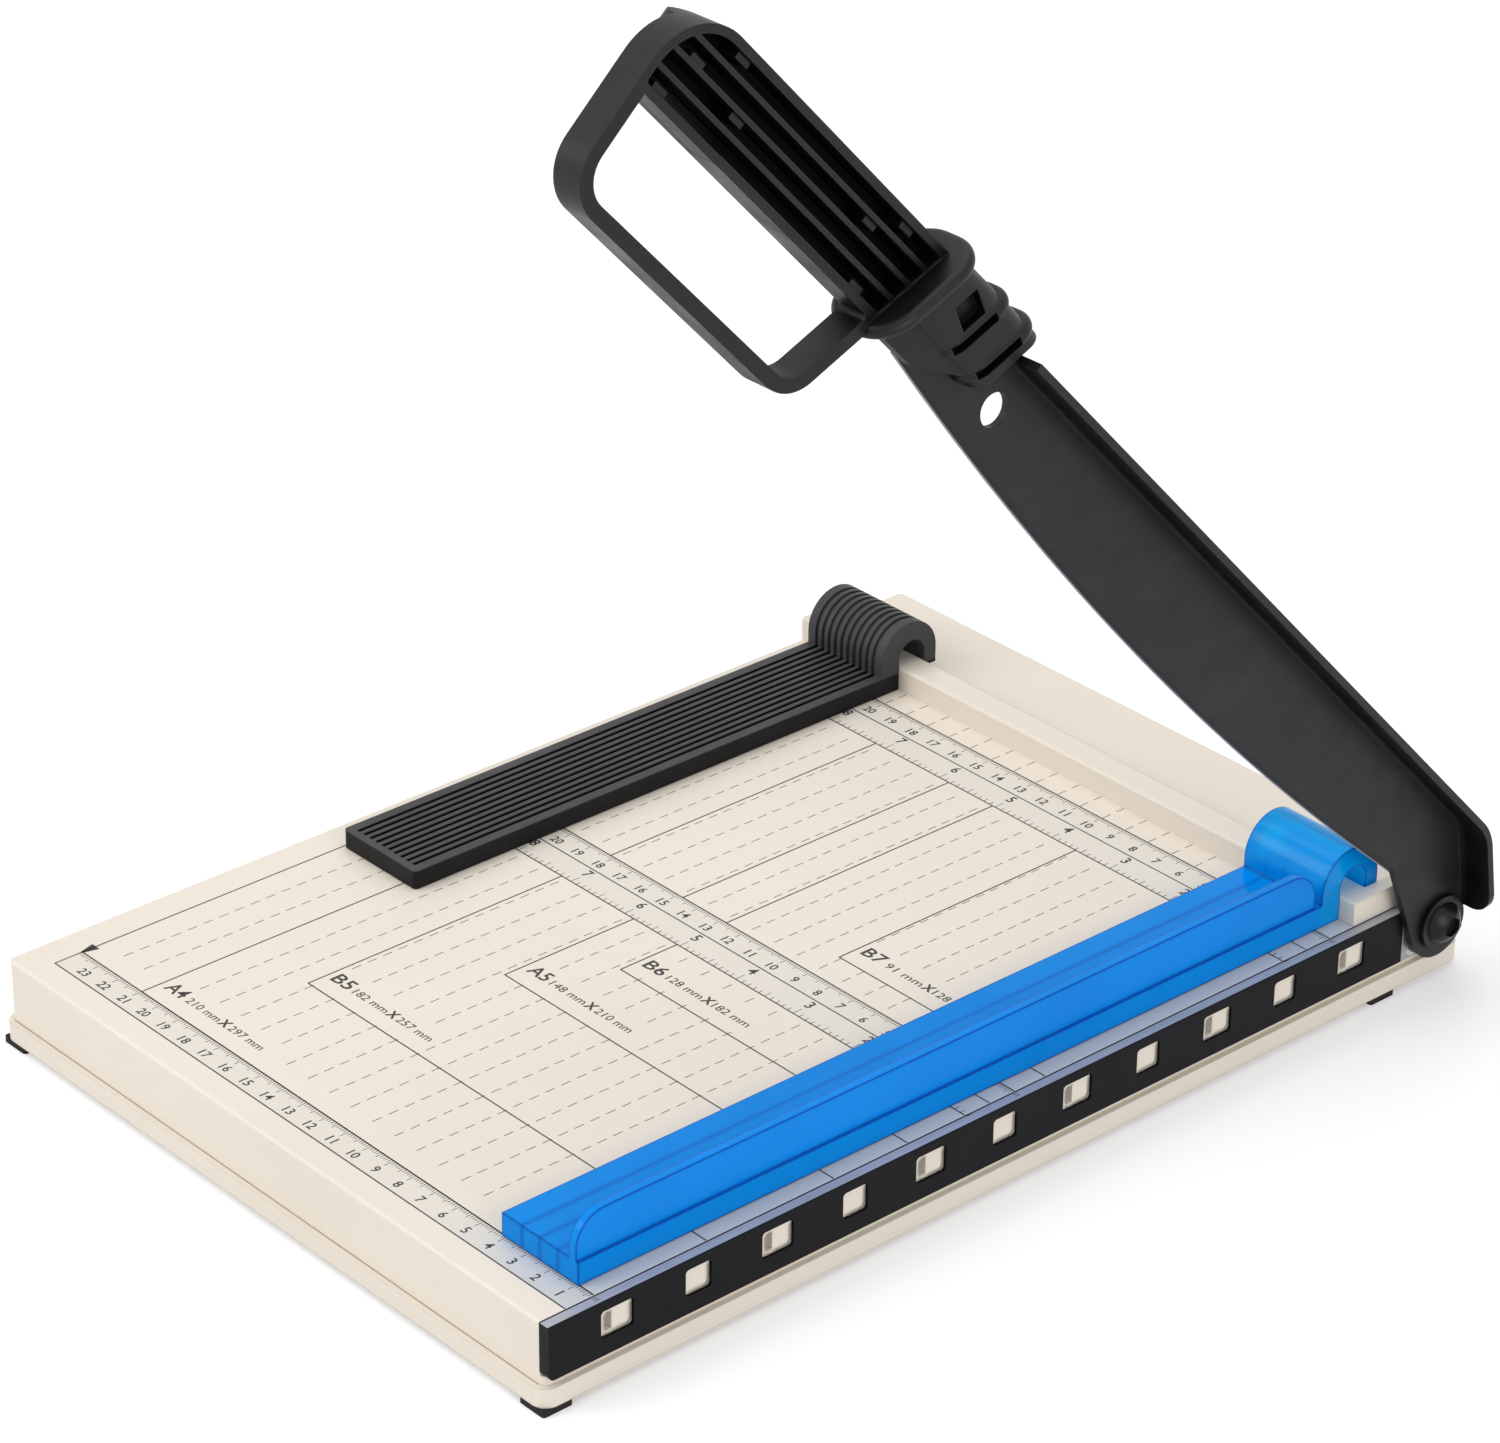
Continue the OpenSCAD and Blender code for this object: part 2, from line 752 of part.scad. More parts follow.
module pivot_bolt() color(dark_steel) {
    dome_r = (bolt_head_d * bolt_head_d / 4 + bolt_head_h * bolt_head_h) / (2 * bolt_head_h);
    at_pivot() {
        disc_x(bolt_d / 2, bolt_end_x, head_x + slop / 2);
        difference() {
            translate([head_x, 0, 0]) rotate([0, 90, 0]) rotate_extrude() intersection() {
                translate([0, bolt_head_h - dome_r]) circle(dome_r);
                square([bolt_head_d, bolt_head_h]);
            }
            hex_x(socket_r, head_x + bolt_head_h - socket_depth, head_x + bolt_head_h + slop);
        }
    }
}

module head_washer() color(dark_steel) {
    at_pivot() ring_x(head_washer_d / 2, bolt_d / 2 + bolt_play, bush_end_x, head_x);
}

module pivot_bush() color(bright_steel) {
    at_pivot() ring_x(bush_d / 2, bolt_d / 2 + bolt_play, blade_face_x, bush_end_x);
}

module inner_washer() color(bright_steel) {
    at_pivot() ring_x(inner_washer_d / 2, bolt_d / 2 + bolt_play, spring_x, shell_inner_x);
}

// One coned ring whose wide side faces +X
module coned_ring() {
    r_in = bolt_d / 2 + bolt_play;
    r_out = inner_washer_d / 2;
    rotate([0, 90, 0]) rotate_extrude() {
        polygon([[r_in, 0], [r_out, spring_rise], [r_out, spring_pitch], [r_in, spring_t]]);
    }
}

module disc_springs() color(bright_steel) {
    at_pivot() {
        for (k = [0 : spring_count - 1]) {
            translate([spring_x - (k + 0.5) * spring_pitch, 0, 0]) {
                mirror([k % 2, 0, 0]) translate([-spring_pitch / 2, 0, 0]) coned_ring();
            }
        }
    }
}

module lock_nut() color(bright_steel) {
    at_pivot() {
        difference() {
            union() {
                hex_x(nut_r, nut_x - nut_h, nut_x);
                disc_x(insert_r + insert_wall, nut_x - nut_h - insert_h, nut_x - nut_h);
            }
            disc_x(bolt_d / 2 + screw_play, nut_x - nut_h - slop, nut_x + slop);
            disc_x(insert_r, nut_x - nut_h - insert_h - slop, nut_x - nut_h);
        }
    }
}

module nut_insert() color(nylon) {
    at_pivot() ring_x(insert_r, bolt_d / 2 + screw_play, nut_x - nut_h - insert_h, nut_x - nut_h);
}

// Arm, drawn level: a point at distance s along the arm and n above it is (-s, n)

function arm_point(s, n) = [-s, n];

function shoulder_arc(depth) =
    arc(arm_point(shoulder_s, shoulder_n), shoulder_r - depth, 90 - rear_slope, 90, shoulder_steps);

module tail_outline() {
    polygon(concat(
        arc([0, 0], tail_r, 270 - heel_slope, 450 - rear_slope, 60),
        shoulder_arc(0),
        [arm_point(heel_in.x, back_h), arm_point(heel_in.x, heel_in.y)]
    ));
}

// Everything in front of the plate that the flange leaves free
module flange_inside() {
    polygon(concat(
        [flange_tip + slop * rear_out, flange_tip - arm_t * rear_out],
        shoulder_arc(arm_t),
        [arm_point(arm_end_s, back_h - arm_t), arm_point(arm_end_s, -back_h)],
        [[back_h, -back_h], [back_h, flange_tip.y]]
    ));
}

// What the bend's rounding takes away: outward distance from the edge, then X from the inner face
module bend_waste() {
    mirror([1, 0]) corner_facets(bend_out);
}

module bend_rounding() {
    step = rear_slope / shoulder_steps;
    translate([0, 0, back_h]) along_y(-flange_end_s - slop, slop - shoulder_s) bend_waste();
    translate([0, -shoulder_s, shoulder_n]) {
        for (k = [0 : shoulder_steps - 1]) {
            rotate([-(k + 0.5) * step, 0, 0]) translate([0, 0, shoulder_r * cos(step / 2)]) {
                along_y(-slop, slop) bend_waste();
            }
        }
        rotate([-rear_slope, 0, 0]) {
            translate([0, 0, shoulder_r]) along_y(-slop / 2, rear_l + slop) bend_waste();
            translate([flange_w, rear_l - slop, shoulder_r - 2 * arm_t]) linear_extrude(3 * arm_t) {
                mirror([1, 0]) mirror([0, 1]) corner_facets(flange_corner_r);
            }
        }
    }
}

module cutting_plate() {
    intersection() {
        side(0, arm_t) {
            translate([-arm_end_s, -tail_r]) square([arm_end_s - heel.x + heel_lap, tang_top + tail_r]);
        }
        translate([0, -edge_s, edge_n]) rotate([0, 90, 0]) {
            cylinder(r = edge_curve_r, h = edge_land, $fn = 1440);
            translate([0, 0, edge_land]) {
                cylinder(r1 = edge_curve_r, r2 = edge_curve_r - bevel_w, h = arm_t - edge_land, $fn = 1440);
            }
        }
    }
}

module blade_arm() color(dark_steel) {
    at_arm() difference() {
        union() {
            side(0, flange_w) tail_outline();
            side(0, flange_w) translate([-flange_end_s, tang_top - slop]) {
                square([flange_end_s - heel.x, bend_out + slop]);
            }
            cutting_plate();
        }
        side(arm_t, flange_w + slop) flange_inside();
        bend_rounding();
        disc_x(bore_r, -slop, arm_t + slop);
        translate([0, -hang_s, hang_n]) disc_x(hang_d / 2, -slop, arm_t + slop);
        handle_screw_places() disc_x(screw_hole_r, -slop, arm_t + slop);
    }
}

// Handle

module handle_screw_places() {
    for (offset = handle_screw_offsets) {
        translate([0, -collar_s + offset, handle_screw_n]) children();
    }
}

module tilted(offset) {
    translate([0, -collar_s + offset, 0]) rotate([-tilt, 0, 0]) children();
}

function lean(n) = n * tan(tilt);

// Sketch of a polygon whose convex corners are rounded; each corner is [s, n, radius]
module rounded_corners(corners) {
    count = len(corners);
    points = [for (c = corners) arm_point(c[0], c[1])];
    ways = [for (k = [0 : count - 1]) let (d = points[(k + 1) % count] - points[k]) d / norm(d)];
    halves = [for (k = [0 : count - 1])
        let (a = -ways[(k + count - 1) % count], b = ways[k]) acos(a * b) / 2];
    cuts = [for (k = [0 : count - 1]) corners[k][2] / tan(halves[k])];
    polygon([for (k = [0 : count - 1], end = [0, 1])
        points[k] + cuts[k] * (end == 0 ? -ways[(k + count - 1) % count] : ways[k])]);
    for (k = [0 : count - 1]) {
        middle = ways[k] - ways[(k + count - 1) % count];
        translate(points[k] + middle / norm(middle) * corners[k][2] / sin(halves[k])) circle(corners[k][2]);
    }
}

module guard_outline() {
    rounded_corners([
        [collar_s - lean(grip_high), grip_high, sharp_r],
        [guard_end_s, grip_high, top_far_r],
        [guard_end_s, -guard_low, low_r],
        [collar_s - lean(-guard_low), -guard_low, low_r]
    ]);
}

module guard_opening() {
    open_low = -guard_low + band_t;
    near_s = collar_s + band_t;
    rounded_corners([
        [near_s - lean(grip_low), grip_low, open_top_r],
        [guard_end_s - band_t, grip_low, open_top_r],
        [guard_end_s - band_t, open_low, open_low_r],
        [near_s - lean(open_low), open_low, open_low_r]
    ]);
}

module trough_outline() {
    near_s = collar_s + collar_t / 2 + trough_start;
    rounded_corners([
        [near_s - lean(grip_high - grip_wall), grip_high - grip_wall, sharp_r],
        [guard_end_s - grip_wall, grip_high - grip_wall, top_far_r - grip_wall],
        [guard_end_s - grip_wall, grip_low + grip_wall, slop],
        [near_s - lean(grip_low + grip_wall), grip_low + grip_wall, sharp_r]
    ]);
}

module grip_ribs() {
    pitch = (grip_high - grip_low - 2 * grip_wall + rib_t) / (rib_count + 1);
    for (k = [1 : rib_count]) {
        rib_n = grip_low + grip_wall + k * pitch - rib_t;
        side(trough_floor_x, band_x1) intersection() {
            translate([-guard_end_s, rib_n]) square([guard_l + collar_h, rib_t]);
            guard_outline();
        }
    }
}

module grip_bulge() {
    intersection() {
        translate([band_x0 - bulge + bulge_r, 0, grip_mid_n]) rotate([90, 0, 0]) {
            translate([0, 0, collar_s - lean(grip_high)]) {
                cylinder(r = bulge_r, h = guard_l + lean(grip_high));
            }
        }
        side(band_x0 - bulge, trough_floor_x) intersection() {
            guard_outline();
            translate([-guard_end_s, grip_low]) square([guard_end_s, grip_high]);
        }
        linear_extrude(grip_high + slop) {
            translate([band_x0 - bulge, -guard_end_s + bulge_end_gap]) {
                rounded_square(2 * bulge_r, 2 * guard_l, bulge_end_r);
            }
        }
    }
}

module neck_core() {
    difference() {
        along_y(-collar_s, -collar_s + neck_l + lean(neck_high)) {
            translate([neck_low, grip_mid_x - neck_w / 2]) {
                rounded_square(neck_high - neck_low, neck_w, neck_r);
            }
        }
        tilted(neck_l) translate([-neck_w * 2, 0, -neck_high]) cube([neck_w * 4, neck_l, 3 * neck_high]);
        tilted(0) translate([-neck_w * 2, -neck_l, -neck_high]) cube([neck_w * 4, neck_l, 3 * neck_high]);
    }
    for (offset = ring_offsets) {
        tilted(offset) translate([grip_mid_x, 0, ring_mid_n / cos(tilt)]) {
            pillow_plate(ring_w, ring_h, ring_r, ring_t);
        }
    }
}

module gusset() {
    side(arm_t + tang_play, arm_t + gusset_t) {
        polygon([
            arm_point(collar_s - lean(grip_low), grip_low - gusset_drop),
            arm_point(collar_s - gusset_offsets[0], grip_low - gusset_drop),
            arm_point(collar_s - gusset_offsets[1], grip_low + gusset_rise),
            arm_point(collar_s - gusset_offsets[2], neck_low + slop),
            arm_point(collar_s - lean(neck_low), neck_low + slop)
        ]);
    }
}

module neck_cuts() {
    for (offset = ring_offsets) {
        tilted(offset) translate([grip_mid_x + ring_w / 2 - slot_depth, 0, ring_mid_n - slot_drop]) {
            translate([0, -slot_t / 2, 0]) cube([slot_depth + slop, slot_t, slot_h]);
        }
    }
    translate([grip_mid_x + neck_w / 2 - pocket_depth, -collar_s + pocket_offset, pocket_n]) {
        rotate([-tilt, 0, 0]) translate([0, -pocket_edge / 2, -pocket_edge / 2]) {
            cube([pocket_depth + 2 * slop, pocket_edge, pocket_edge]);
        }
    }
    side(-tang_play, arm_t + tang_play) {
        translate([-arm_end_s - tang_play, -slop]) square([collar_s, tang_top + tang_play + slop]);
    }
    handle_screw_places() {
        disc_x(screw_r + screw_play, arm_t, handle_head_x + handle_screw_l + handle_screw_spare);
        disc_x(screw_hole_r, -neck_w, slop);
        disc_x(screw_head_r + screw_head_play, -neck_w, handle_head_x + screw_head_h);
    }
}

module handle() color(black) {
    at_arm() {
        difference() {
            side(band_x0, band_x1) guard_outline();
            side(band_x0 - slop, band_x1 + slop) guard_opening();
            side(trough_floor_x, band_x1 + slop) trough_outline();
        }
        grip_ribs();
        grip_bulge();
        difference() {
            union() {
                tilted(0) translate([grip_mid_x, 0, collar_mid_n / cos(tilt)]) {
                    pillow_plate(collar_w, collar_h, collar_r, collar_t);
                }
                neck_core();
                gusset();
            }
            neck_cuts();
        }
    }
}

module handle_screws() color(bright_steel) {
    at_arm() handle_screw_places() {
        difference() {
            disc_x(screw_head_r, handle_head_x, handle_head_x + screw_head_h);
            translate([handle_head_x, 0, 0]) rotate([0, 90, 0]) screw_recess();
        }
        disc_x(screw_r, handle_head_x + screw_head_h, handle_head_x + handle_screw_l);
    }
}

// Stop and clamp

module hook_profile() {
    difference() {
        union() {
            intersection() {
                translate([hook_y, hook_z]) circle(hook_r);
                translate([hook_y0, hook_z]) square([2 * hook_r, hook_r]);
            }
            translate([hook_y0, slide_z]) square([near_leg, hook_z - slide_z]);
            translate([hook_y1 - far_leg, leg_end_z]) square([far_leg, hook_z - leg_end_z]);
        }
        translate([tunnel_y, tunnel_z]) circle(tunnel_r);
        translate([tunnel_y0, slide_z - slop]) square([2 * tunnel_r, tunnel_z - slide_z + slop]);
    }
}

// Grooves follow the plate's top, the near leg, the bow and the far leg
module groove_profile() {
    difference() {
        translate([hook_y, hook_z]) circle(hook_r + slop);
        translate([hook_y, hook_z]) circle(hook_r - groove_d);
        translate([hook_y0 - slop, slide_z - hook_r]) {
            square([2 * hook_r + 2 * slop, hook_z + hook_r - slide_z]);
        }
    }
    translate([hook_y0 - slop, slide_z + stop_t - groove_d]) {
        square([groove_d + slop, hook_z - slide_z - stop_t + groove_d]);
    }
    translate([hook_y1 - groove_d, leg_end_z - slop]) square([groove_d + slop, hook_z - leg_end_z + slop]);
    translate([stop_y + groove_border, slide_z + stop_t - groove_d]) {
        square([hook_y0 - stop_y - groove_border + slop / 2, groove_d + slop]);
    }
}

module paper_stop() color(black) {
    difference() {
        union() {
            translate([stop_x, stop_y, slide_z]) linear_extrude(stop_t) {
                rounded_square(stop_w, hook_y0 - stop_y + near_leg, stop_corner_r);
            }
            side(stop_x, stop_x + stop_w) hook_profile();
        }
        for (k = [0 : groove_count - 1]) {
            groove_x = stop_x + groove_border + (k + 0.5) * groove_pitch - groove_w / 2;
            side(groove_x, groove_x + groove_w) groove_profile();
        }
    }
}

module clamp_fin() {
    fin_x1 = clamp_x1 - fin_inset;
    fin_y1 = hook_y0 - fin_far_gap;
    fin_rise = table_z + fin_h - slide_z;
    side(fin_x1 - fin_t, fin_x1) intersection() {
        translate([clamp_y, slide_z - fin_r]) rounded_square(fin_y1 - clamp_y, fin_rise + fin_r, fin_r);
        translate([clamp_y, slide_z + clamp_t / 2]) square([fin_y1 - clamp_y, fin_rise]);
    }
}

module paper_clamp() color(blue) {
    inner_w = clamp_w - 2 * clamp_wall;
    rib_pitch = (inner_w + clamp_rib_t) / (clamp_rib_count + 1);
    difference() {
        translate([clamp_x0, clamp_y, slide_z]) cube([clamp_w, hook_y0 - clamp_y + slop, clamp_t]);
        translate([clamp_x0 + clamp_wall, clamp_y + clamp_wall, slide_z - slop]) {
            cube([inner_w, hook_y0 - clamp_y - clamp_wall, clamp_t - clamp_wall + slop]);
        }
    }
    for (k = [1 : clamp_rib_count]) {
        translate([clamp_x0 + clamp_wall + k * rib_pitch - clamp_rib_t, clamp_y + slop, slide_z]) {
            cube([clamp_rib_t, hook_y0 - clamp_y, clamp_t - slop]);
        }
    }
    side(clamp_x0, clamp_x1) hook_profile();
    clamp_fin();
}

table_shell();
base_tray();
rubber_feet();
base_screws();
fixed_blade();
pivot_bracket();
bracket_screws();
bracket_nuts();
pivot_bolt();
head_washer();
pivot_bush();
inner_washer();
disc_springs();
lock_nut();
nut_insert();
blade_arm();
handle();
handle_screws();
paper_clamp();
paper_stop();
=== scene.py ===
import math

import bmesh
import bpy
from bpy.props import FloatProperty, FloatVectorProperty, PointerProperty
from mathutils import Matrix, Vector


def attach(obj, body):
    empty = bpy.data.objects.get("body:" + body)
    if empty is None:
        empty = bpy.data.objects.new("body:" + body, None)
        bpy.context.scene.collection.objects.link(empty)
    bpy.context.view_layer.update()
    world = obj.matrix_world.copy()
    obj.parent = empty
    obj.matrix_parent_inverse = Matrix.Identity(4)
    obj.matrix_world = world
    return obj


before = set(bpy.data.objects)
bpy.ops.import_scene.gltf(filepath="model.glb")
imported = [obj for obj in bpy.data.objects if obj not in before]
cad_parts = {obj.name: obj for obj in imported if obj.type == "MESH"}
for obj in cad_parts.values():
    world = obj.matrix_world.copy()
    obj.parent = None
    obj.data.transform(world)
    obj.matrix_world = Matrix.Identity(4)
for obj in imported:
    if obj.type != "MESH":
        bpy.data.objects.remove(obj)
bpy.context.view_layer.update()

bl_info = {
    "name": "Paper Cutter Looks",
    "version": (1, 0, 0),
    "blender": (4, 5, 0),
    "location": "View3D > Sidebar > Paper Cutter",
    "description": "Finishes, printed table and studio of a guillotine paper cutter",
    "category": "Object",
}

MM = 0.001

# Where the print's zero lies in the frame: the cutting line, the fence's sheet zero and the table's top
PRINT_ZERO_X = 118.5
PRINT_ZERO_Y = 134.6
TABLE_Z = 28.8

# Where a finish changes, and where painted shade and painted light lie: the shaded joint above the tray, the
# lit upper faces of the stop's ridges, the fixed blade's sides
SEAM_Z = 8.2
SEAM_W = (0.4, 0.45)
SEAM_BY_BLADE = 0.15
STOP_TOP_Z = 35.3
STOP_RIDGE = (0.35, 0.1)
BLADE_INNER_X = 115.3
BLADE_OUTER_X = 119.4
BLADE_DARK_EDGES = (0.55, 0.5)
BLADE_TOP_FADE = (0.12, 0.06)

# Pegs in the fixed blade's windows: where they show, and how far and which way the painted shadow in the gap
# beside them reaches
PEG_FROM_X = 117.3
PEG_Z = (16.4, 27.0)
PEG_SHADOW_R = 2.6
PEG_SHADOW_WAY = (0.0, 0.7, -0.7)

# Where the painted shade turns the table greyer towards the fixed blade
GREY_FROM_X = 58.0
GREY_TO_X = 98.0
GREY_NEAR_Y = -172.6
GREY_SHARE = 0.7

# The clamp's ribs show through its plate up to the hook
CLAMP_RIB_X = (85.7, 93.3, 100.9)
CLAMP_RIB_W = 1.4
CLAMP_RIB_BLUR = 0.8
CLAMP_HOOK_Y = 127.5
CLAMP_HOOK_FADE = 2.0

# Where the photo was taken from, in metres and degrees
CAMERA_PLACE = (1.01424, -0.91162, 0.83304)
CAMERA_YAW = 48.221
CAMERA_PITCH = 28.274
CAMERA_ROLL = 0.5875
FILM_WIDTH = 36.0
CLIP = (0.05, 50.0)

# The lamps' sides, places and aims, in metres
LAMPS = {
    "top_lamp": (2.6, (-0.2, 0.1, 2.5), (0.0, 0.0, 0.0)),
    "key_lamp": (1.8, (-1.1, -2.2, 1.7), (0.0, 0.0, 0.1)),
    "fill_lamp": (1.8, (2.5, -0.5, 0.9), (0.0, 0.0, 0.1)),
}
FLOOR_CELLS = 8

# The arm's own frame: its zero at the pivot on the arm's face, and how far it is raised
ARM_PIVOT = Vector((119.7, 168.2, 21.7))
RAISE = math.radians(46.8)

# The arm's flange gets a painted shade on its inner face, starting between these places along x
FLANGE_FROM_X = 122.9
FLANGE_TO_X = 124.7

# The arm's ground edge lies on a wide circle, in the arm's own frame
EDGE_MIDDLE = (0.0, -168.4, 1323.4)
EDGE_R = 1330.0
EDGE_GROUND_W = 0.35
EDGE_HEEL = 34.0
EDGE_FADE = 2.0
EDGE_SHINE = 0.6

# Where most of a noise's values lie, how strong marks and mottles are, and how finely looks are sampled
NOISE_MIDDLE = (0.3, 0.7)
MARK_SHADE = 0.72
MOTTLE_GAIN = 1.35
MOTTLE_LIFT = 0.004
EDGE_SAMPLES = 4
HOLLOW_SAMPLES = 8
HOLLOW_REACH = 14.0


def colour(name, text, default):
    """A colour property with its three linear values."""
    return FloatVectorProperty(
        name=name, description=text, subtype="COLOR", size=3, min=0.0, max=1.0, default=default
    )


def length(name, text, default):
    """A length property, given in millimetres."""
    return FloatProperty(name=name, description=text, unit="LENGTH", min=0.0, default=default * MM)


def metres(name, text, default):
    """A length property of the studio, given in metres."""
    return FloatProperty(name=name, description=text, unit="LENGTH", min=0.0, default=default)


def watts(name, text, default):
    """A lamp's power property."""
    return FloatProperty(name=name, description=text, unit="POWER", min=0.0, default=default)


def number(name, text, default):
    """A plain number property."""
    return FloatProperty(name=name, description=text, min=0.0, default=default)


class CutterFinish(bpy.types.PropertyGroup):
    """Colours of the cutter's finishes, and of the painted shade and painted light laid on them."""

    cream: colour("Cream", "Moulded table and tray", (0.835, 0.765, 0.665))
    cream_shade: colour("Cream shade", "Darker patches of the cream plastic", (0.81, 0.735, 0.635))
    # Painted shade: the table and the ruler bands turn towards this greyer colour by the fixed blade
    cream_grey: colour("Cream by the blade", "Greyer table beside the fixed blade", (0.52, 0.54, 0.565))
    # Painted shade: a dark line along the joint between the table and the tray
    seam: colour("Seam", "Line between the table and the tray", (0.45, 0.34, 0.22))
    black: colour("Black plastic", "Handle and paper stop", (0.0045, 0.0045, 0.005))
    black_worn: colour("Worn black", "Rubbed edges of the black plastic", (0.030, 0.030, 0.032))
    # Painted light: the paler upper faces of the stop's ridges
    ridge: colour("Ridge tops", "Tops of the paper stop's ridges", (0.062, 0.062, 0.064))
    arm: colour("Arm paint", "Satin coat of the blade arm", (0.0115, 0.0115, 0.0119))
    arm_worn: colour("Arm edge", "Rubbed edges of the arm's coat", (0.06, 0.06, 0.063))
    blade: colour("Blade face", "Blackened face of the fixed blade", (0.004, 0.004, 0.0055))
    ground: colour("Ground steel", "Ground edges of the blades", (0.47, 0.48, 0.53))
    steel: colour("Grey steel", "Plain steel of the bracket", (0.42, 0.42, 0.44))
    zinc: colour("Zinc", "Plated screws, nuts and springs", (0.62, 0.62, 0.64))
    blackened: colour("Blackened steel", "Pivot bolt and washer", (0.005, 0.005, 0.0055))
    rubber: colour("Rubber", "Feet under the tray", (0.010, 0.010, 0.010))
    nylon: colour("Nylon", "Insert of the lock nut", (0.08, 0.17, 0.50))
    blue: colour("Clear blue", "Tinted paper clamp", (0.0, 0.36, 1.0))
    blue_deep: colour("Deep blue", "Thick edges of the paper clamp", (0.0, 0.035, 0.46))
    blue_pale: colour("Pale blue", "Thin hook of the paper clamp", (0.0, 0.47, 0.98))


class CutterPrint(bpy.types.PropertyGroup):
    """Sizes and colours of the printed table."""

    ink: colour("Ink", "Lines, ticks and figures", (0.010, 0.009, 0.008))
    dash_ink: colour("Dash ink", "Fainter dashed lines", (0.13, 0.11, 0.09))
    band: colour("Ruler band", "Ground of the rulers", (0.76, 0.71, 0.63))
    line_w: length("Line width", "Width of the sheet outlines", 0.46)
    tick_w: length("Tick width", "Width of the ruler ticks", 0.24)
    dash_w: length("Dash width", "Width of the dashed lines", 0.32)
    dash_l: length("Dash length", "Length of one dash", 3.4)
    dash_step: length("Dash step", "Distance from dash to dash", 5.85)
    film: length("Ink film", "Height of the ink over the table", 0.04)
    figure_h: length("Figure height", "Height of the centimetre figures", 3.3)
    inch_h: length("Inch figure height", "Height of the inch figures", 3.9)


class CutterStage(bpy.types.PropertyGroup):
    """Floor, lamps and camera of the studio."""

    floor: colour("Floor", "Plain pale floor", (0.80, 0.80, 0.80))
    floor_size: metres("Floor size", "Side of the floor", 8.0)
    floor_glow: number("Floor white", "Share of plain white in the seen floor", 0.30)
    far_glow: number("Far floor white", "Share of plain white where the floor ends", 0.75)
    glow_from: metres("White from", "Reach of the plain floor", 0.5)
    glow_to: metres("White to", "Where the floor is as white as it gets", 2.2)
    ambient: number("Ambient", "Strength of the even light", 0.40)
    top_lamp: watts("Top lamp", "Power of the soft lamp overhead", 29.0)
    key_lamp: watts("Key lamp", "Power of the soft lamp in front", 33.0)
    fill_lamp: watts("Fill lamp", "Power of the soft lamp at the blade side", 26.0)
    lens: number("Lens", "Focal length in millimetres", 126.28)


# Materials


def new_material(name):
    """An empty material with its node tree and shader."""
    material = bpy.data.materials.new(name)
    material.use_nodes = True
    tree = material.node_tree
    return material, tree, tree.nodes["Principled BSDF"]


def add(tree, kind, **values):
    """A node with plain values on its named inputs."""
    node = tree.nodes.new("ShaderNode" + kind)
    for name, value in values.items():
        node.inputs[name.replace("_", " ")].default_value = value
    return node


def place(tree):
    """The object coordinates of a tree."""
    for node in tree.nodes:
        if node.bl_idname == "ShaderNodeTexCoord":
            return node.outputs["Object"]
    return add(tree, "TexCoord").outputs["Object"]


def noise(tree, scale, detail=3.0, roughness=0.5, stretch=None):
    """Noise over the object, stretched along an axis if asked."""
    node = add(tree, "TexNoise", Scale=scale, Detail=detail, Roughness=roughness)
    source = place(tree)
    if stretch:
        mapping = add(tree, "Mapping", Scale=stretch)
        tree.links.new(source, mapping.inputs["Vector"])
        source = mapping.outputs["Vector"]
    tree.links.new(source, node.inputs["Vector"])
    return node.outputs[0]


def spread(tree, source, low, high, out_low=0.0, out_high=1.0):
    """A value carried from one range to another and held at its ends."""
    node = add(tree, "MapRange", From_Min=low, From_Max=high, To_Min=out_low, To_Max=out_high)
    tree.links.new(source, node.inputs["Value"])
    return node.outputs[0]


def math_node(tree, operation, first, second):
    """Two values joined; the second may be a plain number."""
    node = add(tree, "Math")
    node.operation = operation
    tree.links.new(first, node.inputs[0])
    if isinstance(second, (int, float)):
        node.inputs[1].default_value = second
    else:
        tree.links.new(second, node.inputs[1])
    return node.outputs[0]


def mix_colour(tree, factor, first, second):
    """A colour between two colours or colour outputs."""
    node = add(tree, "Mix")
    node.data_type = "RGBA"
    tree.links.new(factor, node.inputs[0])
    for socket, value in ((node.inputs[6], first), (node.inputs[7], second)):
        if isinstance(value, bpy.types.NodeSocket):
            tree.links.new(value, socket)
        else:
            socket.default_value = (*value, 1.0)
    return node.outputs[2]


def axis_value(tree, axis):
    """One object coordinate, in metres."""
    node = add(tree, "SeparateXYZ")
    tree.links.new(place(tree), node.inputs[0])
    return node.outputs[axis]


def band(tree, axis, low, high, blur=0.05):
    """1 between two places along an axis, given in millimetres."""
    value = axis_value(tree, axis)
    rise = spread(tree, value, (low - blur) * MM, (low + blur) * MM)
    fall = spread(tree, value, (high - blur) * MM, (high + blur) * MM, 1.0, 0.0)
    return math_node(tree, "MULTIPLY", rise, fall)


def soft_normal(tree, radius):
    """The surface's normal with its edges rounded; the radius is in millimetres."""
    bevel = add(tree, "Bevel", Radius=radius * MM)
    bevel.samples = EDGE_SAMPLES
    return bevel.outputs[0]


def near_edge(tree, normal, full=0.80):
    """0 on open faces, 1 where the rounded normal has turned far enough from the face's own."""
    flat = add(tree, "NewGeometry")
    dot = add(tree, "VectorMath")
    dot.operation = "DOT_PRODUCT"
    tree.links.new(normal, dot.inputs[0])
    tree.links.new(flat.outputs["Normal"], dot.inputs[1])
    return spread(tree, dot.outputs["Value"], 0.99, full)


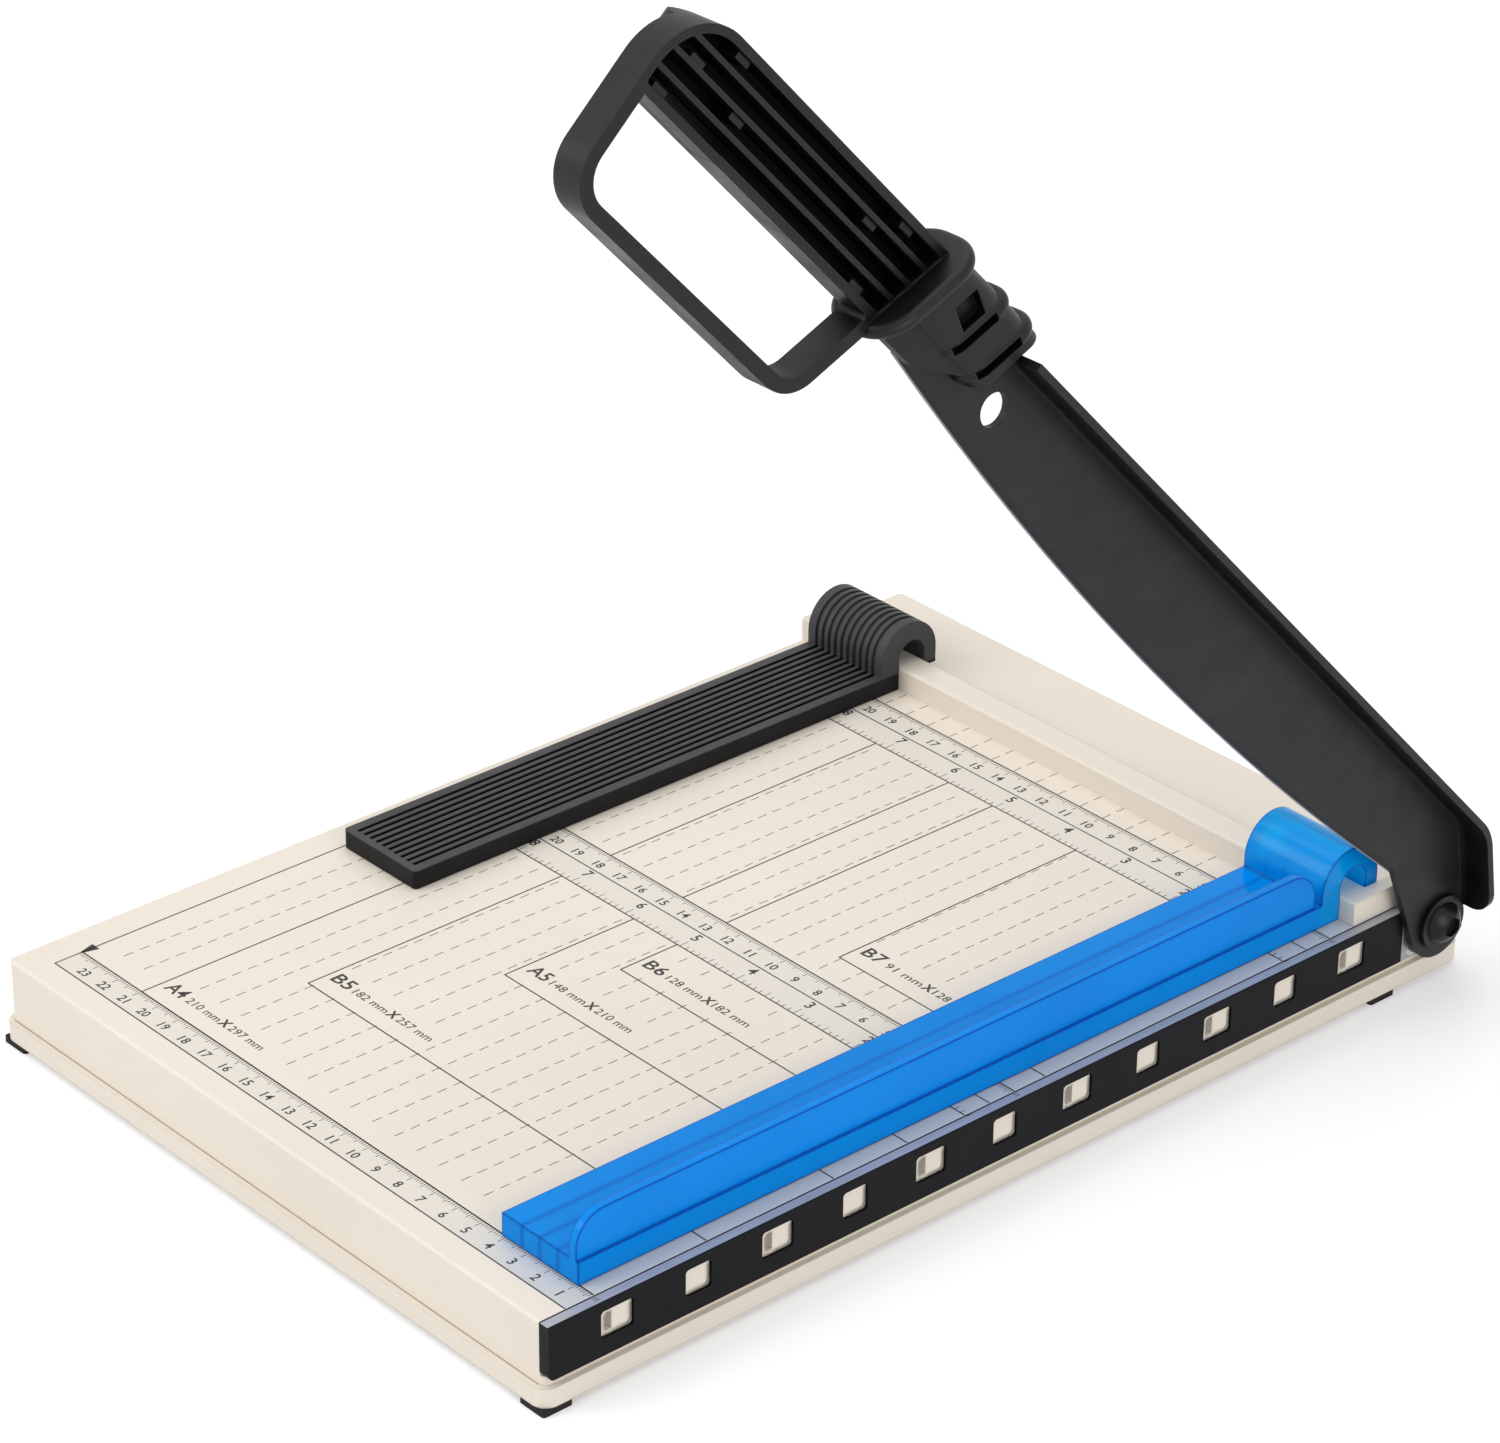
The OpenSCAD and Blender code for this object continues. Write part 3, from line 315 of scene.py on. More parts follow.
def openness(tree):
    """1 on open faces, less in a piece's own hollows."""
    hollow = add(tree, "AmbientOcclusion", Distance=HOLLOW_REACH * MM)
    hollow.samples = HOLLOW_SAMPLES
    hollow.only_local = True
    return hollow.outputs["AO"]


def uneven_roughness(tree, shader, scale, detail, low, high):
    """Roughness that wanders between two values in patches."""
    patches = spread(tree, noise(tree, scale, detail), *NOISE_MIDDLE, low, high)
    tree.links.new(patches, shader.inputs["Roughness"])


def bump(tree, shader, height, strength, depth, normal=None):
    """Fine relief on a shader, over a rounded normal if there is one."""
    node = add(tree, "Bump", Strength=strength, Distance=depth * MM)
    tree.links.new(height, node.inputs["Height"])
    if normal:
        tree.links.new(normal, node.inputs["Normal"])
    tree.links.new(node.outputs[0], shader.inputs["Normal"])


def by_blade(tree, tint, blade_shade):
    """The table's colour with a painted shade: greyer towards the fixed blade."""
    near = spread(tree, axis_value(tree, 0), GREY_FROM_X * MM, GREY_TO_X * MM, 0.0, GREY_SHARE)
    beyond = spread(tree, axis_value(tree, 1), (GREY_NEAR_Y - 0.2) * MM, GREY_NEAR_Y * MM)
    level = band(tree, 2, TABLE_Z - 0.35, TABLE_Z + 0.35, 0.15)
    there = math_node(tree, "MULTIPLY", near, beyond)
    return mix_colour(tree, math_node(tree, "MULTIPLY", there, level), tint, blade_shade)


def peg_gap(tree):
    """1 where a painted shadow darkens the gap beside and below each peg in the fixed blade's windows."""
    lean = add(tree, "VectorMath")
    lean.operation = "DOT_PRODUCT"
    lean.inputs[1].default_value = PEG_SHADOW_WAY
    tree.links.new(soft_normal(tree, PEG_SHADOW_R), lean.inputs[0])
    gap = spread(tree, lean.outputs["Value"], 0.10, 0.22)
    front = spread(tree, axis_value(tree, 0), PEG_FROM_X * MM, (PEG_FROM_X + 0.1) * MM)
    level = band(tree, 2, *PEG_Z)
    return math_node(tree, "MULTIPLY", gap, math_node(tree, "MULTIPLY", front, level))


def seam_line(tree):
    """How dark the painted shade along the joint above the tray shows; it is faint under the fixed blade."""
    side_x = axis_value(tree, 0)
    side = spread(tree, side_x, (BLADE_INNER_X - 1.0) * MM, BLADE_INNER_X * MM, 1.0, SEAM_BY_BLADE)
    line = band(tree, 2, SEAM_Z - SEAM_W[0], SEAM_Z + SEAM_W[1])
    return math_node(tree, "MULTIPLY", line, side)


def moulded_cream(name, finish, table):
    """Cream plastic with a fine grain and faint patches; the table also gets painted shade: greyer towards
    the blade, darker beside the pegs and along the joint above the tray.
    """
    material, tree, shader = new_material(name)
    patches = spread(tree, noise(tree, 9.0, 4.0), 0.35, 0.70)
    tint = mix_colour(tree, patches, finish.cream, finish.cream_shade)
    if table:
        # Painted shade: the table turns greyer towards the fixed blade
        tint = by_blade(tree, tint, finish.cream_grey)
        # Painted shadow: the blade's dark colour beside and below each peg
        tint = mix_colour(tree, peg_gap(tree), tint, finish.blade)
        # Painted shade: a dark line along the joint above the tray
        tint = mix_colour(tree, seam_line(tree), tint, finish.seam)
    tree.links.new(tint, shader.inputs["Base Color"])
    uneven_roughness(tree, shader, 60.0, 3.0, 0.36, 0.48)
    shader.inputs["Specular IOR Level"].default_value = 0.45
    bump(tree, shader, noise(tree, 1400.0, 2.0), 0.12, 0.05, soft_normal(tree, 0.6))
    return material


def satin_black(name, finish):
    """Black plastic with a fine spark-eroded grain and edges rubbed paler; its own hollows get less specular
    as a painted shade.
    """
    material, tree, shader = new_material(name)
    normal = soft_normal(tree, 0.7)
    patches = spread(tree, noise(tree, 140.0, 4.0), 0.30, 0.75, 0.25, 0.9)
    rubbed = math_node(tree, "MULTIPLY", near_edge(tree, normal), patches)
    tree.links.new(mix_colour(tree, rubbed, finish.black, finish.black_worn), shader.inputs["Base Color"])
    uneven_roughness(tree, shader, 70.0, 4.0, 0.36, 0.5)
    # Painted shade: less specular in the piece's own hollows
    hollow_shade_gloss = spread(tree, openness(tree), 0.4, 0.9, 0.03, 0.27)
    tree.links.new(hollow_shade_gloss, shader.inputs["Specular IOR Level"])
    bump(tree, shader, noise(tree, 900.0, 2.0), 0.16, 0.06, normal)
    return material


def ridged_black(name, finish):
    """Black plastic of the paper stop, with painted light making the upper faces of its ridges paler than the
    grooves.
    """
    material, tree, shader = new_material(name)
    low, high = STOP_RIDGE
    # Painted light: the upper faces of the ridges are painted paler
    tops = spread(tree, axis_value(tree, 2), (STOP_TOP_Z - low) * MM, (STOP_TOP_Z - high) * MM)
    patches = spread(tree, noise(tree, 45.0, 4.0), 0.25, 0.75, 0.75, 1.0)
    tops = math_node(tree, "MULTIPLY", tops, patches)
    tree.links.new(mix_colour(tree, tops, finish.black, finish.ridge), shader.inputs["Base Color"])
    uneven_roughness(tree, shader, 80.0, 4.0, 0.42, 0.56)
    shader.inputs["Specular IOR Level"].default_value = 0.18
    bump(tree, shader, noise(tree, 900.0, 2.0), 0.16, 0.06, soft_normal(tree, 0.4))
    return material


def arm_edge(tree):
    """How brightly the arm's ground edge shows, in front of its heel."""
    own = add(tree, "Mapping", Location=ARM_PIVOT * MM, Rotation=(-RAISE, 0.0, 0.0))
    own.vector_type = "TEXTURE"
    tree.links.new(place(tree), own.inputs["Vector"])
    parts = add(tree, "SeparateXYZ")
    tree.links.new(own.outputs["Vector"], parts.inputs[0])
    flat = add(tree, "CombineXYZ")
    tree.links.new(parts.outputs[1], flat.inputs[1])
    tree.links.new(parts.outputs[2], flat.inputs[2])
    reach = add(tree, "VectorMath")
    reach.operation = "DISTANCE"
    reach.inputs[1].default_value = Vector(EDGE_MIDDLE) * MM
    tree.links.new(flat.outputs[0], reach.inputs[0])
    low = (EDGE_R - EDGE_GROUND_W) * MM
    edge = spread(tree, reach.outputs["Value"], low, low + 0.1 * MM, 0.0, EDGE_SHINE)
    ahead = spread(tree, parts.outputs[1], -EDGE_HEEL * MM, -(EDGE_HEEL + EDGE_FADE) * MM)
    return math_node(tree, "MULTIPLY", edge, ahead)


def painted_arm(name, finish):
    """Satin coat over pressed steel, with faint long rubs, paler edges and a painted shade on the inner face
    of its flange.
    """
    material, tree, shader = new_material(name)
    normal = soft_normal(tree, 0.5)
    rubs = spread(tree, noise(tree, 30.0, 5.0, 0.6, (1.0, 0.35, 2.4)), 0.45, 0.8, 0.0, 0.16)
    worn = math_node(tree, "MAXIMUM", rubs, math_node(tree, "MULTIPLY", near_edge(tree, normal), 0.5))
    flange = spread(tree, axis_value(tree, 0), FLANGE_FROM_X * MM, FLANGE_TO_X * MM)
    # Painted shade: the flange's inner face turns black and less specular where it is hollow
    flange_shade = math_node(tree, "MULTIPLY", flange, spread(tree, openness(tree), 0.96, 0.84))
    coat = mix_colour(tree, flange_shade, finish.arm, finish.black)
    coat = mix_colour(tree, worn, coat, finish.arm_worn)
    ground = arm_edge(tree)
    tree.links.new(mix_colour(tree, ground, coat, finish.ground), shader.inputs["Base Color"])
    uneven_roughness(tree, shader, 120.0, 4.0, 0.34, 0.46)
    tree.links.new(spread(tree, flange_shade, 0.0, 1.0, 0.22, 0.03), shader.inputs["Specular IOR Level"])
    bump(tree, shader, noise(tree, 1600.0, 2.0), 0.10, 0.04, normal)
    return material


def fixed_blade_steel(name, finish):
    """Blackened steel with its top ground bright between two dark edges."""
    material, tree, shader = new_material(name)
    low, high = BLADE_TOP_FADE
    inner, outer = BLADE_DARK_EDGES
    top = spread(tree, axis_value(tree, 2), (TABLE_Z - low) * MM, (TABLE_Z - high) * MM)
    middle = band(tree, 0, BLADE_INNER_X + inner, BLADE_OUTER_X - outer, 0.1)
    ground = math_node(tree, "MULTIPLY", top, middle)
    grind = spread(tree, noise(tree, 500.0, 3.0, 0.6, (1.0, 0.04, 1.0)), *NOISE_MIDDLE, 0.82, 1.0)
    tint = mix_colour(tree, math_node(tree, "MULTIPLY", ground, grind), finish.blade, finish.ground)
    tree.links.new(tint, shader.inputs["Base Color"])
    tree.links.new(math_node(tree, "MULTIPLY", ground, 0.3), shader.inputs["Metallic"])
    uneven_roughness(tree, shader, 90.0, 4.0, 0.34, 0.46)
    shader.inputs["Specular IOR Level"].default_value = 0.1
    lines = noise(tree, 800.0, 2.0, 0.5, (1.0, 0.05, 1.0))
    bump(tree, shader, lines, 0.08, 0.04, soft_normal(tree, 0.25))
    return material


def bare_metal(name, base, rough=(0.24, 0.42), stretch=None):
    """Plain or plated steel with fine marks."""
    material, tree, shader = new_material(name)
    marks = spread(tree, noise(tree, 700.0, 4.0, 0.6, stretch), *NOISE_MIDDLE)
    darker = tuple(MARK_SHADE * part for part in base)
    tree.links.new(mix_colour(tree, marks, darker, base), shader.inputs["Base Color"])
    shader.inputs["Metallic"].default_value = 1.0
    uneven_roughness(tree, shader, 150.0, 4.0, *rough)
    bump(tree, shader, marks, 0.10, 0.03, soft_normal(tree, 0.25))
    return material


def clear_blue(name, finish):
    """Tinted clear plastic: deeper blue along its edges and over its ribs, paler at the thin hook."""
    material, tree, shader = new_material(name)
    normal = soft_normal(tree, 1.2)
    hook_from, hook_to = CLAMP_HOOK_Y - CLAMP_HOOK_FADE, CLAMP_HOOK_Y + CLAMP_HOOK_FADE
    hook = spread(tree, axis_value(tree, 1), hook_from * MM, hook_to * MM)
    plate = spread(tree, hook, 0.0, 1.0, 1.0, 0.0)
    deep = spread(tree, noise(tree, 20.0, 3.0), *NOISE_MIDDLE, 0.0, 0.14)
    for x in CLAMP_RIB_X:
        rib = band(tree, 0, x - CLAMP_RIB_W / 2, x + CLAMP_RIB_W / 2, CLAMP_RIB_BLUR)
        deep = math_node(tree, "MAXIMUM", deep, math_node(tree, "MULTIPLY", rib, 0.5))
    deep = math_node(tree, "MULTIPLY", deep, plate)
    edge = math_node(tree, "MULTIPLY", near_edge(tree, normal, 0.9), 0.95)
    deep = math_node(tree, "MAXIMUM", deep, edge)
    body = mix_colour(tree, hook, finish.blue, finish.blue_pale)
    tree.links.new(mix_colour(tree, deep, body, finish.blue_deep), shader.inputs["Base Color"])
    uneven_roughness(tree, shader, 60.0, 3.0, 0.08, 0.16)
    tree.links.new(spread(tree, hook, 0.0, 1.0, 0.28, 0.5), shader.inputs["Transmission Weight"])
    shader.inputs["Specular IOR Level"].default_value = 0.08
    shader.inputs["IOR"].default_value = 1.3
    bump(tree, shader, noise(tree, 300.0, 2.0), 0.04, 0.03, normal)
    return material


def plain_finish(name, base, rough, grain):
    """A small piece's finish: a mottled colour with a fine relief."""
    material, tree, shader = new_material(name)
    paler = tuple(min(1.0, MOTTLE_GAIN * part + MOTTLE_LIFT) for part in base)
    mottle = spread(tree, noise(tree, 200.0, 4.0), *NOISE_MIDDLE)
    tree.links.new(mix_colour(tree, mottle, base, paler), shader.inputs["Base Color"])
    uneven_roughness(tree, shader, 120.0, 4.0, rough - 0.06, rough + 0.06)
    shader.inputs["Specular IOR Level"].default_value = 0.22
    bump(tree, shader, noise(tree, grain, 2.0), 0.2, 0.05, soft_normal(tree, 0.4))
    return material


def printed_ink(name, base, thin, blade_shade=None):
    """Screen-printed ink, a little thinner in patches; a pale ground may get the painted shade that makes it
    greyer by the blade.
    """
    material, tree, shader = new_material(name)
    patches = spread(tree, noise(tree, 350.0, 4.0), 0.35, 0.8)
    paler = tuple(part + thin for part in base)
    tint = mix_colour(tree, patches, base, paler)
    if blade_shade:
        tint = by_blade(tree, tint, blade_shade)
    tree.links.new(tint, shader.inputs["Base Color"])
    uneven_roughness(tree, shader, 90.0, 3.0, 0.42, 0.55)
    bump(tree, shader, patches, 0.05, 0.02)
    return material


def dress(material, *nodes):
    """Gives CAD nodes a material in every slot they have."""
    for node in nodes:
        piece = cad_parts[node]
        if not piece.material_slots:
            piece.data.materials.append(material)
        for slot in piece.material_slots:
            slot.material = material


# Strokes and figures of the print


def slab(mesh, x0, x1, y0, y1, low, high):
    """A thin closed slab in the mesh; sides in print millimetres, heights in metres over the table."""
    middle = Vector(((x0 + x1) / 2 + PRINT_ZERO_X, (y0 + y1) / 2 + PRINT_ZERO_Y, TABLE_Z)) * MM
    middle.z += (low + high) / 2
    size = Vector((abs(x1 - x0) * MM, abs(y1 - y0) * MM, high - low))
    bmesh.ops.create_cube(mesh, size=1.0, matrix=Matrix.LocRotScale(middle, None, size))


def figure(mesh, words, height, x, y, film, width=None, align=0.5, weight=0.0):
    """Words as a thin closed mesh: height and width in metres, place in print millimetres."""
    curve = bpy.data.curves.new("figure", "FONT")
    curve.body = words
    curve.size = 1.0
    curve.resolution_u = 2
    curve.offset = weight
    curve.extrude = 0.5
    holder = bpy.data.objects.new("figure", curve)
    bpy.context.scene.collection.objects.link(holder)
    bpy.context.view_layer.update()
    made = bpy.data.meshes.new_from_object(holder.evaluated_get(bpy.context.evaluated_depsgraph_get()))
    bpy.data.objects.remove(holder)
    bpy.data.curves.remove(curve)
    corners = [corner.co for corner in made.vertices]
    left, right = min(c.x for c in corners), max(c.x for c in corners)
    bottom, top = min(c.y for c in corners), max(c.y for c in corners)
    tall = height / (top - bottom)
    wide = width / (right - left) if width else tall
    move = Matrix.Translation((-(left + (right - left) * align), -(bottom + top) / 2, 0.0))
    grow = Matrix.Diagonal((wide, tall, film, 1.0))
    spot = Matrix.Translation(((x + PRINT_ZERO_X) * MM, (y + PRINT_ZERO_Y) * MM, TABLE_Z * MM + film / 2))
    made.transform(spot @ grow @ move)
    mesh.from_mesh(made)
    bpy.data.meshes.remove(made)


def printed_piece(name, mesh, material):
    """A finished piece of the print that rides the base."""
    bmesh.ops.remove_doubles(mesh, verts=mesh.verts, dist=1e-7)
    bmesh.ops.recalc_face_normals(mesh, faces=mesh.faces)
    data = bpy.data.meshes.new(name)
    mesh.to_mesh(data)
    mesh.free()
    data.materials.append(material)
    piece = bpy.data.objects.new(name, data)
    bpy.context.scene.collection.objects.link(piece)
    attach(piece, "base")


# Layout of the print, in print millimetres

BLADE_SIDE_X = -3.4
SHEET_END_X = -240
NEAR_RULER = (-297.0, -306.97)
MID_RULER = (-140.28, -150.07, -159.84)
FAR_RULER = (-8.76, -19.02, -29.18)
FENCE_FOOT_Y = 1.0
CM = 10
CM_COUNT = 23
INCH = 25.4
INCH_COUNT = 9
TENTHS = 10
FIVES = 5
SHEETS = (("A4", 210, 297), ("B5", 182, 257), ("A5", 148, 210), ("B6", 128, 182), ("B7", 91, 128))
LEGEND_UP = 8.5
LEGEND_IN = 2.3
LEGEND_L = 46.5
LEGEND_ROOM_X = 2.0
LEGEND_ROOM_Y = 3.2

# Ruler ticks from the tens to the ones, and how far below their line the figures stand
CM_TICKS = (3.4, 2.6, 1.7)
INCH_TICKS = (3.6, 2.8, 1.8)
CM_FIGURE_DOWN = 6.4
INCH_FIGURE_DOWN = 2.9
FIGURE_WEIGHT = 0.015

# Words of a legend: start, drop, height, width and stroke weight
LEGEND_NAME = (0.0, 0.0, 5.0, 8.3, 0.012)
LEGEND_WIDE = (10.2, 0.7, 3.0, 15.4, 0.0)
LEGEND_CROSS = (26.2, 0.5, 3.6, 3.8, 0.03)
LEGEND_TALL = (30.8, 0.7, 3.0, 15.6, 0.0)

# The arrow at the sheet end: its middle, width and length
ARROW_Y = -294.3
ARROW_W = 3.8
ARROW_L = 6.5

# Share of the ink film that the dashes have, and how far patches of each ink are paler
DASH_FILM = 0.8
INK_THIN = 0.015
BAND_THIN = 0.02
DASH_THIN = 0.06

# Tabs between the grip's ribs: places along and above the arm's line, in millimetres
TAB_PLACES = (
    (472.0, 9.9), (445.0, 18.2), (454.6, 29.9), (467.0, 21.6), (385.8, 24.1), (373.5, 29.9), (377.0, 9.9)
)
TAB_SIZE = (7.0, 5.6, 2.2)
TAB_MIDDLE_X = 1.6

# End of the grip's lower wall, in the same measures: middle and size
WALL_MIDDLE = (2.14, -460.5, 7.66)
WALL_SIZE = (7.98, 35.0, 2.48)
DETAIL_BEVEL = 0.3


def legend_y(bottom):
    """Middle line of a sheet's legend."""
    return -bottom + LEGEND_UP


def tick_l(lengths, count):
    """Length of a ruler's tick: longest at the tens, shorter at the fives, shortest between."""
    if count % TENTHS == 0:
        return lengths[0]
    return lengths[1] if count % FIVES == 0 else lengths[2]


class CUTTER_OT_base_finish(bpy.types.Operator):
    """Finish the table, the tray, the feet and the base screws"""

    bl_idname = "cutter.base_finish"
    bl_label = "Base Finish"

    def execute(self, context):
        finish = context.scene.cutter_finish
        dress(moulded_cream("cream_table", finish, table=True), "table_shell")
        dress(moulded_cream("cream_tray", finish, table=False), "base_tray")
        dress(plain_finish("foot_rubber", finish.rubber, 0.75, 500.0), "rubber_feet")
        dress(bare_metal("zinc_screws", finish.zinc), "base_screws")
        return {"FINISHED"}


class CUTTER_OT_blade_finish(bpy.types.Operator):
    """Finish the fixed blade, its bracket and the pivot's hardware"""

    bl_idname = "cutter.blade_finish"
    bl_label = "Blade Finish"

    def execute(self, context):
        finish = context.scene.cutter_finish
        dress(fixed_blade_steel("fixed_blade_steel", finish), "fixed_blade")
        dress(bare_metal("bracket_steel", finish.steel, (0.3, 0.45), (1.0, 0.1, 1.0)), "pivot_bracket")
        dress(plain_finish("blackened_steel", finish.blackened, 0.32, 900.0), "pivot_bolt", "head_washer")
        plated = bare_metal("zinc_hardware", finish.zinc)
        dress(plated, "bracket_screws", "bracket_nuts")
        dress(plated, "pivot_bush", "inner_washer", "disc_springs", "lock_nut")
        dress(plain_finish("nut_nylon", finish.nylon, 0.45, 600.0), "nut_insert")
        return {"FINISHED"}


class CUTTER_OT_arm_finish(bpy.types.Operator):
    """Finish the blade arm, the handle and its screws"""

    bl_idname = "cutter.arm_finish"
    bl_label = "Arm Finish"

    def execute(self, context):
        finish = context.scene.cutter_finish
        dress(painted_arm("arm_paint", finish), "blade_arm")
        dress(satin_black("handle_plastic", finish), "handle")
        dress(bare_metal("zinc_handle_screws", finish.zinc), "handle_screws")
        return {"FINISHED"}


class CUTTER_OT_guide_finish(bpy.types.Operator):
    """Finish the paper stop and the clear paper clamp"""

    bl_idname = "cutter.guide_finish"
    bl_label = "Stop and Clamp Finish"

    def execute(self, context):
        finish = context.scene.cutter_finish
        dress(ridged_black("stop_plastic", finish), "paper_stop")
        dress(clear_blue("clear_blue", finish), "paper_clamp")
        return {"FINISHED"}


class CUTTER_OT_rulers(bpy.types.Operator):
    """Print the rulers: bands, lines, ticks and figures"""

    bl_idname = "cutter.rulers"
    bl_label = "Rulers"

    def execute(self, context):
        sizes = context.scene.cutter_print
        film = sizes.film
        ink = printed_ink("ruler_ink", sizes.ink, INK_THIN)
        bands = bmesh.new()
        lines = bmesh.new()
        ticks = bmesh.new()
        figures = bmesh.new()
        half = sizes.line_w / MM / 2
        thin = sizes.tick_w / MM / 2
        for ruler in (NEAR_RULER, MID_RULER, FAR_RULER):
            slab(bands, SHEET_END_X, BLADE_SIDE_X, ruler[0], ruler[-1], -film / 2, film / 2)
            for y in ruler:
                slab(lines, SHEET_END_X, BLADE_SIDE_X, y - half, y + half, -film, film)
            for k in range(1, CM * CM_COUNT + CM):
                slab(ticks, -k - thin, -k + thin, ruler[0], ruler[0] - tick_l(CM_TICKS, k), -film, film)
            y = ruler[0] - CM_FIGURE_DOWN
            for k in range(1, CM_COUNT + 1):
                figure(figures, str(k), sizes.figure_h, -CM * k, y, film, weight=FIGURE_WEIGHT)
        slab(lines, SHEET_END_X - half, SHEET_END_X + half, NEAR_RULER[0], NEAR_RULER[1], -film, film)
        for ruler in (MID_RULER, FAR_RULER):
            for k in range(1, INCH_COUNT * TENTHS + FIVES):
                x = -k * INCH / TENTHS
                slab(ticks, x - thin, x + thin, ruler[-1], ruler[-1] + tick_l(INCH_TICKS, k), -film, film)
            y = ruler[1] - INCH_FIGURE_DOWN
            for k in range(1, INCH_COUNT + 1):
                figure(figures, str(k), sizes.inch_h, -INCH * k, y, film, weight=FIGURE_WEIGHT)
        # The painted shade by the fixed blade is laid on the ruler bands too
        blade_shade = context.scene.cutter_finish.cream_grey
        printed_piece("ruler_bands", bands, printed_ink("band_ink", sizes.band, BAND_THIN, blade_shade))
        printed_piece("ruler_lines", lines, ink)
        printed_piece("ruler_ticks", ticks, ink)
        printed_piece("ruler_figures", figures, ink)
        return {"FINISHED"}


class CUTTER_OT_sheets(bpy.types.Operator):
    """Print the sheet outlines, their legends and the arrow at the sheet end"""

    bl_idname = "cutter.sheets"
    bl_label = "Sheet Outlines"

    def execute(self, context):
        sizes = context.scene.cutter_print
        film = sizes.film
        ink = printed_ink("sheet_ink", sizes.ink, INK_THIN)
        half = sizes.line_w / MM / 2
        lines = bmesh.new()
        words = bmesh.new()
        for name, wide, tall in SHEETS:
            spans = [(-tall, FAR_RULER[-1])]
            if tall > -MID_RULER[-1]:
                spans = [(-tall, MID_RULER[-1]), (MID_RULER[0], FAR_RULER[-1])]
            for low, high in spans:
                slab(lines, -wide - half, -wide + half, low, high, -film, film)
            slab(lines, -wide, BLADE_SIDE_X, -tall - half, -tall + half, -film, film)
            legend = (
                (name, LEGEND_NAME),
                (f"{wide} mm", LEGEND_WIDE),
                ("X", LEGEND_CROSS),
                (f"{tall} mm", LEGEND_TALL),
            )
            for word, (begin, drop, height, width, weight) in legend:
                x, y = -wide + LEGEND_IN + begin, legend_y(tall) - drop
                figure(words, word, height * MM, x, y, film, width * MM, 0.0, weight)
        slab(lines, SHEET_END_X - half, SHEET_END_X + half, NEAR_RULER[0], FENCE_FOOT_Y, -film, film)
        middle = Vector((SHEET_END_X + PRINT_ZERO_X, ARROW_Y + PRINT_ZERO_Y, TABLE_Z)) * MM
        turn = Matrix.Rotation(math.pi, 4, "Z")
        grow = Matrix.Diagonal((ARROW_W / math.sqrt(3.0) * MM, ARROW_L / 1.5 * MM, 2.0 * film, 1.0))
        bmesh.ops.create_cone(
            lines, cap_ends=True, segments=3, radius1=1.0, radius2=1.0, depth=1.0,
            matrix=Matrix.Translation(middle) @ turn @ grow
        )
        printed_piece("sheet_outlines", lines, ink)
        printed_piece("sheet_legends", words, ink)
        return {"FINISHED"}


class CUTTER_OT_dashes(bpy.types.Operator):
    """Print the dashed lines that square the paper up"""

    bl_idname = "cutter.dashes"
    bl_label = "Dashed Lines"

    def execute(self, context):
        sizes = context.scene.cutter_print
        half = sizes.dash_w / MM / 2
        dash, step = sizes.dash_l / MM, sizes.dash_step / MM
        dashes = bmesh.new()
        for k in range(1, CM_COUNT + 1):
            x = -CM * k
            if x in [-wide for _, wide, _ in SHEETS]:
                continue
            shut = [(MID_RULER[-1], MID_RULER[0]), (FAR_RULER[-1], FAR_RULER[0])]
            for _, wide, tall in SHEETS:
                if -wide < x < -wide + LEGEND_IN + LEGEND_L + LEGEND_ROOM_X:
                    shut.append((legend_y(tall) - LEGEND_ROOM_Y, legend_y(tall) + LEGEND_ROOM_Y))
            for row in range(int((FENCE_FOOT_Y - NEAR_RULER[0]) / step)):
                high = FENCE_FOOT_Y - row * step
                low = high - dash
                if all(high < a or low > b for a, b in shut):
                    slab(dashes, x - half, x + half, low, high, -sizes.film, sizes.film * DASH_FILM)
        printed_piece("guide_dashes", dashes, printed_ink("dash_ink", sizes.dash_ink, DASH_THIN))
        return {"FINISHED"}


class CUTTER_OT_grip_details(bpy.types.Operator):
    """Set the small moulded tabs between the ribs of the grip and the end of its lower wall"""

    bl_idname = "cutter.grip_details"
    bl_label = "Grip Details"

    def execute(self, context):
        finish = context.scene.cutter_finish
        details = bmesh.new()
        turn = Matrix.Rotation(-RAISE, 4, "X")
        blocks = [((TAB_MIDDLE_X, -along, up), TAB_SIZE) for along, up in TAB_PLACES]
        for middle, size in blocks + [(WALL_MIDDLE, WALL_SIZE)]:
            spot = Matrix.Translation((ARM_PIVOT + turn @ Vector(middle)) * MM)
            grow = Matrix.Diagonal((*(Vector(size) * MM), 1.0))
            bmesh.ops.create_cube(details, size=1.0, matrix=spot @ turn @ grow)
        bmesh.ops.bevel(
            details, geom=details.edges, offset=DETAIL_BEVEL * MM, affect="EDGES", segments=2, profile=0.5,
            material=-1
        )
        data = bpy.data.meshes.new("grip_details")
        details.to_mesh(data)
        details.free()
        data.materials.append(satin_black("grip_plastic", finish))
        piece = bpy.data.objects.new("grip_details", data)
        context.scene.collection.objects.link(piece)
        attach(piece, "arm")
        return {"FINISHED"}


